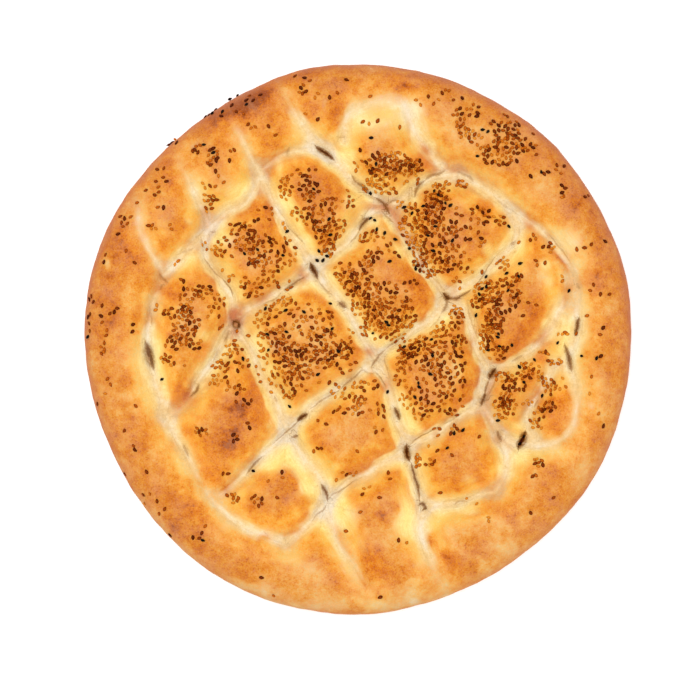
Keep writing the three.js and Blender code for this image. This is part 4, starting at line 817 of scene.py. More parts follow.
# How toasted the sesame is: the least, then by the crust, by chance and by pale dough
TOAST_START = 0.09
TOAST_BY_CRUST = 0.88
TOAST_BY_CHANCE = 0.75
TOAST_BY_DOUGH = 0.2

# The random draws
SESAME_DRAWS = 2024
NIGELLA_DRAWS = 71
DRAW_FACTOR = 16807
DRAW_LIMIT = 2147483647


def smoothstep(low, high, value):
    share = np.clip((value - low) / (high - low), 0, 1)
    return share * share * (3 - 2 * share)


def hump(distance, width, middle=0):
    """A soft hump that is 1 in its middle."""
    return np.exp(-(((distance - middle) / width) ** 2))


def outline_radius(angle):
    radius = np.full_like(angle, RADIUS)
    for count, height, bearing in OUTLINE_WAVES:
        radius += height * np.cos(count * (angle - math.radians(bearing)))
    for bearing, spread, height in SWELLS:
        turn = (np.degrees(angle) - bearing + 180) % 360 - 180
        radius += height * hump(turn, spread)
    return radius + noise_layers(RADIUS * np.cos(angle), RADIUS * np.sin(angle), EDGE_NOISE)


def curve_through(points):
    """The points of a smooth curve through a groove's given points."""
    points = np.array(points, float)
    ends = [2 * points[0] - points[1], 2 * points[-1] - points[-2]]
    padded = np.vstack([ends[0], points, ends[1]])
    curve = []
    for before, start, stop, after in zip(padded, padded[1:], padded[2:], padded[3:]):
        leave = GROOVE_TENSION * (stop - before)
        arrive = GROOVE_TENSION * (after - start)
        for step in range(GROOVE_STEPS):
            t = step / GROOVE_STEPS
            curve.append(
                (2 * t**3 - 3 * t**2 + 1) * start
                + (t**3 - 2 * t**2 + t) * leave
                + (3 * t**2 - 2 * t**3) * stop
                + (t**3 - t**2) * arrive
            )
    curve.append(points[-1])
    return np.array(curve)


GROOVE_CURVES = [curve_through(points) for points in GROOVES]


def distance_to(curve, x, y):
    """Distance to a curve, how far along it the nearest point is, and on which side of it x, y lies."""
    nearest = np.full_like(x, FAR_AWAY)
    along = np.zeros_like(x)
    side = np.zeros_like(x)
    steps = len(curve) - 1
    for step, ((ax, ay), (bx, by)) in enumerate(zip(curve[:-1], curve[1:])):
        dx, dy = bx - ax, by - ay
        share = np.clip(((x - ax) * dx + (y - ay) * dy) / (dx * dx + dy * dy), 0, 1)
        gap_x, gap_y = x - ax - share * dx, y - ay - share * dy
        distance = np.hypot(gap_x, gap_y)
        closer = distance < nearest
        nearest = np.where(closer, distance, nearest)
        along = np.where(closer, (step + share) / steps, along)
        side = np.where(closer, gap_y * dx - gap_x * dy, side)
    return nearest, along, side


def on_loaf(photo_x, photo_y):
    """A pixel of the photo as millimetres from the loaf's middle."""
    return (photo_x - PHOTO_MIDDLE[0]) * PHOTO_SCALE, (PHOTO_MIDDLE[1] - photo_y) * PHOTO_SCALE


def soft_noise(x, y, size, seed):
    """Smooth random values from -1 to 1, with lumps about as wide as the size."""
    table = np.random.RandomState(seed).uniform(-1, 1, (NOISE_CELLS, NOISE_CELLS))
    u, v = x / size + NOISE_START[0], y / size + NOISE_START[1]
    left, low = np.floor(u).astype(int), np.floor(v).astype(int)
    a, b = smoothstep(0, 1, u - left), smoothstep(0, 1, v - low)
    columns = [left % NOISE_CELLS, (left + 1) % NOISE_CELLS]
    near, far = [
        table[row % NOISE_CELLS, columns[0]] * (1 - a) + table[row % NOISE_CELLS, columns[1]] * a
        for row in (low, low + 1)
    ]
    return near * (1 - b) + far * b


def noise_layers(x, y, layers):
    """Soft noises of several sizes, laid over each other."""
    total = np.zeros_like(x)
    for height, size, seed in layers:
        total += height * soft_noise(x, y, size, seed)
    return total


def wavered(x, y, waver):
    """The places, each moved a little this way or that."""
    amount, size, seed = waver
    return x + amount * soft_noise(x, y, size, seed), y + amount * soft_noise(x, y, size, seed + 1)


def blob(x, y, middle_x, middle_y, half_length, half_width, turn):
    """A soft oval spot that is 1 in its middle."""
    cosine, sine = math.cos(math.radians(turn)), math.sin(math.radians(turn))
    along = ((x - middle_x) * cosine + (y - middle_y) * sine) / half_length
    aside = ((y - middle_y) * cosine - (x - middle_x) * sine) / half_width
    return np.exp(-(along**2 + aside**2))


def photo_blob(x, y, photo_x, photo_y, half_length, half_width, turn):
    """A soft oval spot that is given in the photo's pixels, where y runs down."""
    middle_x, middle_y = on_loaf(photo_x, photo_y)
    return blob(x, y, middle_x, middle_y, half_length * PHOTO_SCALE, half_width * PHOTO_SCALE, -turn)


def groove_fields(x, y):
    """For places on the loaf: how deep in a valley, how far from its crease, how pale the dough is, how
    near the dough, how browned as a crisp edge, and where the nearest groove's own lines run, across
    and along it."""
    wavered_x, wavered_y = wavered(x, y, GROOVE_WAVER)
    uneven = noise_layers(x, y, DOUGH_WIDTH_NOISE)
    nearest = np.full_like(x, FAR_AWAY)
    total, pale, halo, edge_line, line_across, line_along = np.zeros((6, *x.shape))
    for curve, widths, crisp_side in zip(GROOVE_CURVES, PALE_WIDTHS, CRISP_SIDES):
        distance, along, side = distance_to(curve, wavered_x, wavered_y)
        across = np.minimum(distance / GROOVE_REACH, 1)
        total += ((1 + np.cos(np.pi * across)) / 2) ** CROSSING_POWER
        width = np.interp(along, np.linspace(0, 1, len(widths)), widths) + uneven
        crisp = CRISP_SHARE * crisp_side * np.sign(side) * smoothstep(0, CRISP_START, distance)
        crisp *= 1 - smoothstep(*CRISP_RADII, np.hypot(x, y))
        edge = PALE_EDGE * (1 - crisp)
        pale = np.maximum(pale, 1 - smoothstep(width - edge, width + edge, distance))
        near_dough = 1 - smoothstep(width, width + HALO_REACH + 2 * uneven, distance)
        halo = np.maximum(halo, near_dough * (1 - crisp))
        line = hump(distance - width, CRUST_LINE_WIDTH, CRUST_LINE_REACH)
        edge_line = np.maximum(edge_line, line * np.maximum(crisp, 0))
        closer = distance < nearest
        length = np.hypot(*np.diff(curve, axis=0).T).sum()
        line_across = np.where(closer, np.where(side < 0, -distance, distance), line_across)
        line_along = np.where(closer, length * along, line_along)
        nearest = np.minimum(nearest, distance)
    return total ** (1 / CROSSING_POWER), nearest, pale, halo, edge_line, line_across, line_along


def uneven_rise(x, y):
    rise = np.zeros_like(x)
    for bearing, length, height, start in RISE_WAVES:
        turn = math.radians(bearing)
        along = x * math.cos(turn) + y * math.sin(turn)
        rise += height * np.sin(2 * np.pi * along / length + start)
    return rise


def fold_fields(x, y):
    """Depth of the folds and holes, the distance from the nearest in its own half widths, with a
    sign for its side, and how dark it is."""
    depth = np.zeros_like(x)
    across = np.full_like(x, FOLD_LIMIT)
    dark = np.zeros_like(x)
    wavered_x, wavered_y = wavered(x, y, FOLD_WAVER)
    for half_width, deep, darkness, points in FOLDS:
        path = np.array([on_loaf(*point) for point in points])
        low, high = path.min(axis=0) - FOLD_MARGIN, path.max(axis=0) + FOLD_MARGIN
        close = np.nonzero((x > low[0]) & (x < high[0]) & (y > low[1]) & (y < high[1]))[0]
        if len(close) == 0:
            continue
        distance, along, side = distance_to(path, wavered_x[close], wavered_y[close])
        taper = np.clip(FOLD_TAPER * along * (1 - along), FOLD_END, 1) ** FOLD_TAPER_POWER
        width = half_width * taper
        dent = deep * taper * hump(distance, np.maximum(width, FINEST_FOLD))
        depth[close] = np.maximum(depth[close], dent)
        share = np.minimum(distance / width, FOLD_LIMIT)
        nearer = share < np.abs(across[close])
        across[close] = np.where(nearer, share * np.where(side < 0, -1, 1), across[close])
        shade = darkness * np.sqrt(taper) * (1 - smoothstep(*FOLD_SHADE_REACH, distance))
        shade *= THIN_FOLD_SHADE + (1 - THIN_FOLD_SHADE) * smoothstep(*THIN_TO_THICK_FOLD, half_width)
        dark[close] = np.where(nearer, shade, dark[close])
    return depth, across, dark


def lattice_fade(x, y):
    """How fully the grooves show, since they run out in the rim."""
    return 1 - (1 - FADE_KEEP) * smoothstep(*FADE_RADII, np.hypot(x, y))


def relief(x, y):
    """How far the surface lies below the smooth top."""
    valley, distance = groove_fields(x, y)[:2]
    crease_share = CREASE_SHARE[0] + CREASE_SHARE[1] * soft_noise(x, y, *CREASE_NOISE)
    crease = crease_share * hump(distance, CREASE_REACH)
    lip = hump(distance, LIP_WIDTH, LIP_PLACE) * LIP_HEIGHT * (1 + soft_noise(x, y, *LIP_NOISE))
    bend = WRINKLE_BEND * soft_noise(x, y, *WRINKLE_BEND_NOISE)
    wrinkle = np.sin(distance * WRINKLE_RATE + bend) * hump(distance, WRINKLE_REACH)
    wrinkle *= WRINKLE_HEIGHT * (1 + soft_noise(x, y, *WRINKLE_NOISE))
    sunk = lattice_fade(x, y) * (GROOVE_DEPTH * valley + CREASE_DEPTH * crease - lip + wrinkle)
    for *oval, depth, _ in HOLLOWS:
        sunk += depth * blob(x, y, *oval)
    sunk += fold_fields(x, y)[0]
    return sunk - noise_layers(x, y, LUMP_NOISE) - uneven_rise(x, y)


def top_height(x, y):
    """Height of the top surface, out to the outline."""
    radius = np.hypot(x, y)
    crest = outline_radius(np.arctan2(y, x)) - RIM_INSET
    level = PILLOW_HEIGHT + (RIM_HEIGHT - PILLOW_HEIGHT) * smoothstep(crest - RIM_SLOPE, crest, radius)
    across = np.clip((radius - crest) / RIM_INSET, 0, 1)
    bend = np.sqrt(1 - across**2)
    sunk = relief(x, y)
    shoulder = WIDEST_HEIGHT + bend * (RIM_HEIGHT - WIDEST_HEIGHT - sunk)
    return np.where(radius <= crest, level - sunk, shoulder)


def browning(x, y, z):
    """How brown the crust is, from 0 for pale gold to 1 for scorched."""
    halo, edge_line = groove_fields(x, y)[3:5]
    radius = np.hypot(x, y)
    inner = 1 - smoothstep(*LATTICE_END_RADII, radius)
    brown = CRUST_BROWNING - HALO_PALING * halo * (RIM_HALO_SHARE + (1 - RIM_HALO_SHARE) * inner)
    brown += EDGE_LINE_BROWNING * edge_line * inner
    brown += RIM_BROWNING * smoothstep(*RIM_RADII, radius)
    # The outer edge is darker towards the back and paler towards the front
    edge_browning = BACK_EDGE_DARKENING * smoothstep(*EDGE_FRONT_TO_BACK, y) - FRONT_EDGE_PALING
    brown += edge_browning * smoothstep(*EDGE_RADII, radius)
    wavered_x, wavered_y = wavered(x, y, PATCH_WAVER)
    for *oval, hundredths in PATCHES:
        brown += hundredths / 100 * photo_blob(wavered_x, wavered_y, *oval)
    brown += noise_layers(x, y, BROWNING_NOISE)
    brown = np.where(brown > DARK_START, DARK_START + DARK_SHARE * (brown - DARK_START), brown)
    base = smoothstep(WIDEST_HEIGHT, BASE_HEIGHT, z)
    return np.clip(brown * (1 - base) + BASE_BROWNING * base, LEAST_BROWNING, 1)


def paleness(x, y):
    """How much of the pale dough shows, and how milky it is, both from 0 to 1."""
    pale = groove_fields(x, y)[2]
    pale *= 1 - PALE_END_SHARE * smoothstep(*PALE_END_RADII, np.hypot(x, y))
    milk = np.zeros_like(x)
    for *oval, _, share in HOLLOWS:
        spot = share * blob(x, y, *oval)
        pale += spot * (1 - pale)
        milk += spot
    for *oval, hundredths in CREAM:
        spot = hundredths / 100 * photo_blob(x, y, *oval)
        pale = np.clip(pale + np.where(spot > 0, spot * (1 - pale), spot), 0, 1)
        milk += CREAM_MILK * np.maximum(spot, 0)
    return np.clip(pale, 0, 1), np.clip(milk, 0, 1)


# The loaf


def hexagon_disc():
    """A flat disc of small triangles in rings, six sided, with its corners one metre out."""
    bpy.ops.object.select_all(action="DESELECT")
    bpy.ops.mesh.primitive_circle_add(vertices=6, radius=1, fill_type="TRIFAN")
    disc = bpy.context.object
    bpy.ops.object.mode_set(mode="EDIT")
    bpy.ops.mesh.select_all(action="SELECT")
    bpy.ops.mesh.subdivide(number_cuts=COARSE_RINGS - 1)
    bpy.ops.mesh.subdivide(number_cuts=RING_SPLITS - 1)
    bpy.ops.object.mode_set(mode="OBJECT")
    return disc


def corner_array(mesh):
    corners = np.empty(len(mesh.vertices) * 3)
    mesh.vertices.foreach_get("co", corners)
    return corners.reshape(-1, 3)


def ring_and_angle(corners):
    """Ring number and bearing of each corner of the hexagon disc."""
    angle = np.arctan2(corners[:, 1], corners[:, 0])
    first = SECTOR_START + np.floor((angle - SECTOR_START) / SECTOR) * SECTOR
    along = corners[:, 0] * np.cos(first) + corners[:, 1] * np.sin(first)
    aside = corners[:, 1] * np.cos(first) - corners[:, 0] * np.sin(first)
    second_share = aside / math.sin(SECTOR)
    first_share = along - second_share * math.cos(SECTOR)
    reach = first_share + second_share
    turn = np.divide(second_share, reach, out=np.zeros_like(reach), where=reach > 1e-9)
    return reach * RING_COUNT, first + turn * SECTOR


def wrap_loaf(corners):
    """Moves the flat disc's corners onto the loaf, from its middle over the rim to its foot."""
    ring, angle = ring_and_angle(corners)
    outer = outline_radius(angle)
    crest = outer - RIM_INSET
    shoulder_turn = np.clip((ring - TOP_RINGS) / SHOULDER_RINGS, 0, 1) * np.pi / 2
    foot_turn = np.clip((ring - TOP_RINGS - SHOULDER_RINGS) / FOOT_RINGS, 0, 1) * np.pi / 2
    radius = np.minimum(ring / TOP_RINGS, 1) * crest + RIM_INSET * np.sin(shoulder_turn)
    radius -= FOOT_INSET * (1 - np.cos(foot_turn))
    x, y = radius * np.cos(angle), radius * np.sin(angle)
    top = top_height(x, y)
    foot = WIDEST_HEIGHT * (1 - np.sin(foot_turn))
    z = np.where(foot_turn > 0, foot, top)
    return np.column_stack([x, y, z])


def close_underside(loaf):
    """Adds the flat underside inside the foot."""
    bpy.ops.object.mode_set(mode="EDIT")
    bpy.ops.mesh.select_mode(type="EDGE")
    bpy.ops.mesh.select_all(action="DESELECT")
    bpy.ops.mesh.select_non_manifold(extend=False)
    previous = 1.0
    for share in UNDERSIDE_STEPS:
        bpy.ops.mesh.extrude_edges_move()
        step = share / previous
        bpy.ops.transform.resize(value=(step, step, 1), center_override=(0, 0, 0))
        previous = share
    bpy.ops.mesh.extrude_edges_move()
    bpy.ops.mesh.merge(type="CENTER")
    bpy.ops.mesh.select_all(action="SELECT")
    bpy.ops.mesh.normals_make_consistent(inside=False)
    bpy.ops.object.mode_set(mode="OBJECT")


def add_attribute(mesh, name, values):
    attribute = mesh.attributes.new(name, "FLOAT", "POINT")
    attribute.data.foreach_set("value", np.ascontiguousarray(values, dtype=np.float32))


def make_loaf():
    loaf = hexagon_disc()
    loaf.name = "loaf"
    places = wrap_loaf(corner_array(loaf.data))
    loaf.data.vertices.foreach_set("co", (places * MM).ravel())
    loaf.data.update()
    close_underside(loaf)
    places = corner_array(loaf.data) / MM
    x, y, z = places.T
    brown = browning(x, y, z)
    underside = z < UNDERSIDE_HEIGHT
    brown[underside] = BASE_BROWNING + noise_layers(x, y, UNDERSIDE_NOISE)[underside]
    top = z > WIDEST_HEIGHT
    _, across, dark = fold_fields(x, y)
    add_attribute(loaf.data, "browning", brown)
    pale, milk = paleness(x, y)
    add_attribute(loaf.data, "dough", np.where(top, pale, 0))
    add_attribute(loaf.data, "milk", milk)
    add_attribute(loaf.data, "fold", across)
    add_attribute(loaf.data, "fold_dark", np.where(top, dark, 0))
    # Where the side wall gets its painted pinkish reflection, more at the back than at the front
    facing = FRONT_SIDE_SHARE + (1 - FRONT_SIDE_SHARE) * smoothstep(*SIDE_FRONT_TO_BACK, y)
    add_attribute(loaf.data, "side", facing * (1 - smoothstep(*SIDE_HEIGHTS, z)))
    valley, _, _, _, _, line_across, line_along = groove_fields(x, y)
    add_attribute(loaf.data, "line_across", line_across)
    add_attribute(loaf.data, "line_along", line_along)
    # The pillows' slopes, where painted light makes the crust lighter and more saturated
    slope = 2 * np.sqrt(np.clip(valley * (1 - valley), 0, 1)) * lattice_fade(x, y)
    add_attribute(loaf.data, "flank_painted_light", np.where(top, slope, 0))
    for polygon in loaf.data.polygons:
        polygon.use_smooth = True
    return loaf


# The seeds


def seeded_draw(start):
    """A random draw from 0 to 1 that gives the same numbers every time."""
    state = start
    while True:
        state = (state * DRAW_FACTOR) % DRAW_LIMIT
        yield state / DRAW_LIMIT


def scatter_sesame(taken):
    """Places for the sesame seeds, none too near another or those already taken."""
    draw = seeded_draw(SESAME_DRAWS)
    cells = {}
    for x, y in taken:
        cells.setdefault((int(x // ROOMY_GAP), int(y // ROOMY_GAP)), []).append((x, y))
    places = []
    for photo_x, photo_y, half_length, half_width, turn, count in SESAME_CLUMPS:
        middle_x, middle_y = on_loaf(photo_x, photo_y)
        cosine, sine = math.cos(math.radians(-turn)), math.sin(math.radians(-turn))
        for _ in range(round(SEED_SHARE * count)):
            for attempt in range(ALL_TRIES):
                reach = CLUMP_SPREAD * PHOTO_SCALE * next(draw) ** CLUMP_POWER
                bearing = 2 * math.pi * next(draw)
                along = half_length * reach * math.cos(bearing)
                aside = half_width * reach * math.sin(bearing)
                x = middle_x + along * cosine - aside * sine
                y = middle_y + along * sine + aside * cosine
                cell = (int(x // ROOMY_GAP), int(y // ROOMY_GAP))
                near = [
                    other
                    for i in (-1, 0, 1)
                    for j in (-1, 0, 1)
                    for other in cells.get((cell[0] + i, cell[1] + j), [])
                ]
                gap = ROOMY_GAP if attempt < ROOMY_TRIES else SESAME_GAP
                clear = all(math.hypot(x - other[0], y - other[1]) > gap for other in near)
                if clear and math.hypot(x, y) < SEED_REACH_LIMIT:
                    cells.setdefault(cell, []).append((x, y))
                    places.append((x, y, 2 * math.pi * next(draw), next(draw), next(draw)))
                    break
    return np.array(places)


def lay_nigella():
    """Places for the black cumin seeds, each where the photo shows it."""
    draw = seeded_draw(NIGELLA_DRAWS)
    places = []
    for photo_x, photo_y in NIGELLA_SEEDS:
        x, y = on_loaf(photo_x, photo_y)
        places.append((x, y, 2 * math.pi * next(draw), next(draw), next(draw)))
    return np.array(places)


def model_grain(name, half_size, tip_width):
    """One seed, drop shaped, with its point towards +X."""
    bpy.ops.object.select_all(action="DESELECT")
    bpy.ops.mesh.primitive_uv_sphere_add(segments=SEED_SEGMENTS, ring_count=SEED_RINGS, radius=1)
    grain = bpy.context.object
    grain.name = name
    bpy.ops.object.mode_set(mode="EDIT")
    bpy.ops.mesh.select_all(action="SELECT")
    bpy.ops.transform.resize(value=half_size, center_override=(0, 0, 0))
    bpy.ops.mesh.select_all(action="DESELECT")
    bpy.ops.object.mode_set(mode="OBJECT")
    for vertex in grain.data.vertices:
        vertex.select = vertex.co.x > TIP_START * half_size[0]
    bpy.ops.object.mode_set(mode="EDIT")
    bpy.ops.transform.resize(value=(1, tip_width, tip_width), center_override=(0, 0, 0))
    bpy.ops.object.mode_set(mode="OBJECT")
    return grain


def seeds_from(grain, name, places, proud):
    """Copies of one grain, each lying on the crust, as one mesh."""
    shape = corner_array(grain.data)
    faces = [tuple(polygon.vertices) for polygon in grain.data.polygons]
    x, y = places[:, 0], places[:, 1]
    height = top_height(x, y)
    slope_x = (top_height(x + SLOPE_REACH, y) - top_height(x - SLOPE_REACH, y)) / (2 * SLOPE_REACH)
    slope_y = (top_height(x, y + SLOPE_REACH) - top_height(x, y - SLOPE_REACH)) / (2 * SLOPE_REACH)
    up = Vector((0, 0, 1))
    corners = []
    for index, (place_x, place_y, turn, size_draw, tip_draw) in enumerate(places):
        normal = Vector((-slope_x[index], -slope_y[index], 1)).normalized()
        tilt = up.rotation_difference(normal).to_matrix()
        rock = Matrix.Rotation(SEED_ROCK * (tip_draw - 0.5), 3, "Y")
        pose = np.array(tilt @ Matrix.Rotation(turn, 3, "Z") @ rock)
        middle = np.array([place_x, place_y, height[index]]) + proud * np.array(normal)
        size = SMALLEST_SEED + SEED_SIZE_SPREAD * size_draw
        corners.append(shape * size @ pose.T + middle)
    count = len(shape)
    joined = [
        tuple(corner + index * count for corner in face)
        for index in range(len(places))
        for face in faces
    ]
    mesh = bpy.data.meshes.new(name)
    mesh.from_pydata((np.vstack(corners) * MM).tolist(), [], joined)
    mesh.update()
    for polygon in mesh.polygons:
        polygon.use_smooth = True
    seeds = bpy.data.objects.new(name, mesh)
    bpy.context.scene.collection.objects.link(seeds)
    crown = shape[:, 2] / shape[:, 2].max()
    add_attribute(mesh, "crown", np.tile(crown, len(places)))
    bpy.data.objects.remove(grain)
    return seeds


def sesame_toast(places):
    """How dark each sesame seed is, from 0 for golden to 1 for dark brown."""
    x, y = places[:, 0], places[:, 1]
    brown = browning(x, y, np.full_like(x, PILLOW_HEIGHT))
    toast = TOAST_START + TOAST_BY_CRUST * brown + TOAST_BY_CHANCE * (places[:, 3] - 0.5)
    return np.clip(toast - TOAST_BY_DOUGH * paleness(x, y)[0], 0, 1)


# Materials

# Each material's roughness and specular level
CRUST_FINISH = (0.6, 0.03)
SESAME_FINISH = (0.5, 0.02)
NIGELLA_FINISH = (0.5, 0.04)
PAPER_FINISH = (0.9, 0.1)

# How much brighter than its own colour a surface looks in the studio's light
STUDIO_GAIN = 1.70


def linear(red, green, blue):
    """A screen colour from 0 to 255 as the linear colour that the shader works with."""
    channels = [channel / 255 for channel in (red, green, blue)]
    return [c / 12.92 if c <= 0.04045 else ((c + 0.055) / 1.055) ** 2.4 for c in channels] + [1.0]


def studio(red, green, blue):
    """The colour that a surface needs to look like this one in the studio's bright light."""
    return [channel / STUDIO_GAIN for channel in linear(red, green, blue)[:3]] + [1.0]


def start_material(name, roughness, specular):
    material = bpy.data.materials.new(name)
    material.use_nodes = True
    shader = material.node_tree.nodes["Principled BSDF"]
    shader.inputs["Roughness"].default_value = roughness
    shader.inputs["Specular IOR Level"].default_value = specular
    return material, material.node_tree, shader


def attribute_node(tree, name):
    node = tree.nodes.new("ShaderNodeAttribute")
    node.attribute_name = name
    return node.outputs["Fac"]


def noise_node(tree, scale, detail, roughness, place=None):
    if place is None:
        place = tree.nodes.new("ShaderNodeTexCoord").outputs["Object"]
    node = tree.nodes.new("ShaderNodeTexNoise")
    node.inputs["Scale"].default_value = scale
    node.inputs["Detail"].default_value = detail
    node.inputs["Roughness"].default_value = roughness
    tree.links.new(place, node.inputs["Vector"])
    return node.outputs["Fac"]


def groove_lines(tree, stretch):
    """Places measured across and along the nearest groove, for marks that run along it."""
    node = tree.nodes.new("ShaderNodeCombineXYZ")
    tree.links.new(attribute_node(tree, "line_across"), node.inputs["X"])
    along = math_node(tree, "DIVIDE", attribute_node(tree, "line_along"), stretch)
    tree.links.new(along, node.inputs["Y"])
    return node.outputs["Vector"]


def math_node(tree, operation, first, second=None, third=None):
    node = tree.nodes.new("ShaderNodeMath")
    node.operation = operation
    for socket, value in zip(node.inputs, (first, second, third)):
        if value is None:
            continue
        if isinstance(value, (int, float)):
            socket.default_value = value
        else:
            tree.links.new(value, socket)
    return node.outputs[0]


def swing(tree, value, *noises):
    """The value, with noises added that each swing it by their own amount either way."""
    for noise, amount in noises:
        centred = math_node(tree, "SUBTRACT", noise, 0.5)
        value = math_node(tree, "MULTIPLY_ADD", centred, 2 * amount, value)
    return value


def ramp_node(tree, value, stops, light=STUDIO_GAIN):
    node = tree.nodes.new("ShaderNodeValToRGB")
    ramp = node.color_ramp
    while len(ramp.elements) < len(stops):
        ramp.elements.new(0.5)
    for element, (position, colour) in zip(ramp.elements, stops):
        element.position = position
        element.color = [channel / light for channel in linear(*colour)[:3]] + [1.0]
    tree.links.new(value, node.inputs["Fac"])
    return node.outputs["Color"]


def mix_colour(tree, share, first, second, blend="MIX"):
    """A mix of two colours, of which the second may be a plain one."""
    node = tree.nodes.new("ShaderNodeMix")
    node.data_type = "RGBA"
    node.blend_type = blend
    tree.links.new(share, node.inputs["Factor"])
    tree.links.new(first, node.inputs["A"])
    if isinstance(second, list):
        node.inputs["B"].default_value = second
    else:
        tree.links.new(second, node.inputs["B"])
    return node.outputs["Result"]


def soft_step(tree, value, low, high):
    """A smooth step from 0 at the low value to 1 at the high one."""
    node = tree.nodes.new("ShaderNodeMapRange")
    node.interpolation_type = "SMOOTHSTEP"
    node.inputs["From Min"].default_value = min(low, high)
    node.inputs["From Max"].default_value = max(low, high)
    node.inputs["To Min"].default_value = 0 if low < high else 1
    node.inputs["To Max"].default_value = 1 if low < high else 0
    tree.links.new(value, node.inputs["Value"])
    return node.outputs["Result"]


def marks(tree, value, low, high, strength):
    """Marks that come in from the low value to the high one and get this strong."""
    return math_node(tree, "MULTIPLY", soft_step(tree, value, low, high), strength)


def brighten(tree, colour, value):
    node = tree.nodes.new("ShaderNodeHueSaturation")
    tree.links.new(colour, node.inputs["Color"])
    tree.links.new(value, node.inputs["Value"])
    return node.outputs["Color"]


def bump_node(tree, height, distance, strength, before=None):
    node = tree.nodes.new("ShaderNodeBump")
    node.inputs["Distance"].default_value = distance
    node.inputs["Strength"].default_value = strength
    tree.links.new(height, node.inputs["Height"])
    if before is not None:
        tree.links.new(before, node.inputs["Normal"])
    return node.outputs["Normal"]


CRUST_COLOURS = [
    (0.00, (246, 222, 176)),
    (0.16, (246, 209, 148)),
    (0.30, (246, 196, 121)),
    (0.43, (245, 182, 99)),
    (0.55, (241, 163, 70)),
    (0.67, (233, 144, 44)),
    (0.80, (219, 121, 28)),
    (0.90, (198, 101, 22)),
    (1.00, (156, 70, 14)),
]
DOUGH_COLOURS = [
    (0.25, (242, 200, 134)),
    (0.45, (251, 216, 158)),
    (0.6, (254, 227, 180)),
    (0.8, (255, 237, 206)),
]
# the colour of the painted reflection on the side wall
SIDE_REFLECTION_COLOUR = (208, 122, 78)
SPECK_COLOUR = (150, 78, 30)
# Painted light on the pillows' slopes: lighter and more saturated than the tops, standing in for how the
# light falls on them
FLANK_PAINTED_LIGHT = [1.15, 1.06, 0.5, 1.0]
WHITE = [1.0, 1.0, 1.0, 1.0]
CREASE_COLOUR = (206, 160, 104)
# the folds' colours: partly their own browner colour, partly painted shade
FOLD_BROWN_AND_SHADE = (190, 116, 14)
FOLD_CORE_BROWN_AND_SHADE = (70, 16, 0)
ROSY_COLOUR = (240, 178, 132)

# Noises on the crust: scale, detail and roughness
PATCH_NOISE = (70, 4, 0.55)
MOTTLE_NOISE = (230, 5, 0.65)
GRAIN_NOISE = (520, 4, 0.7)
PORE_NOISE = (1100, 2, 0.55)
ROSY_NOISE = (90, 3, 0.6)
# the last noise makes the painted highlights
PAINTED_GLINT_NOISE = (1500, 1, 0.55)

# How far those noises swing the browning, the rosy tone, the dough's edge and tone, the folds' edge and
# the brightness
BROWNING_SWINGS = (0.12, 0.32, 0.26, 0.16)
ROSY_SWING = 0.25
DOUGH_SWINGS = (0.28, 0.12)
TONE_SWINGS = (0.30, 0.10, 0.16)
FOLD_SWINGS = (0.55, 0.35)
BRIGHTNESS_SWING = 0.14

# Bumps from the patches, the mottling, the grain, the pores, the dough's ridges and the folds: height
# in metres and strength
CRUST_BUMPS = [(0.0012, 0.35), (0.0008, 0.4), (0.0004, 0.5), (0.0002, 0.4), (0.0008, 0.4), (0.0008, 0.6)]

# Noises drawn out along the grooves, and how far
LINE_NOISE = (0.8, 2, 0.5)
LINE_STRETCH = 9
FINE_LINE_NOISE = (1.7, 1, 0.5)
FINE_LINE_STRETCH = 14

# Marks on the crust: where they come in, where they are full and how strong they get
ROSY_MARKS = (0.36, 0.74, 0.26)
SPECK_MARKS = (0.54, 0.68, 0.45)
CREASE_MARKS = (0.6, 0.72, 0.16)
# the painted highlights: fine white glints
PAINTED_GLINT_MARKS = (0.42, 0.72, 0.024)

# Where something starts on the crust and where it is full
BURNT_FROM = (0.45, 0.9)
SIDE_MOTTLE = (0.1, 0.6)
DOUGH_EDGE = (0.10, 1.06)
FOLD_EDGE = (1.3, 0.3)
FOLD_CORE_EDGE = (0.8, 0.15)

# How sharply the dark core of a fold ends, and how much the milky places lift the dough's tone
FOLD_CORE_POWER = 1.4
MILK_SHARE = 0.32

# The crust's roughness: the least, and how much the grain adds
LEAST_ROUGHNESS = 0.42
GRAIN_ROUGHNESS = 0.25


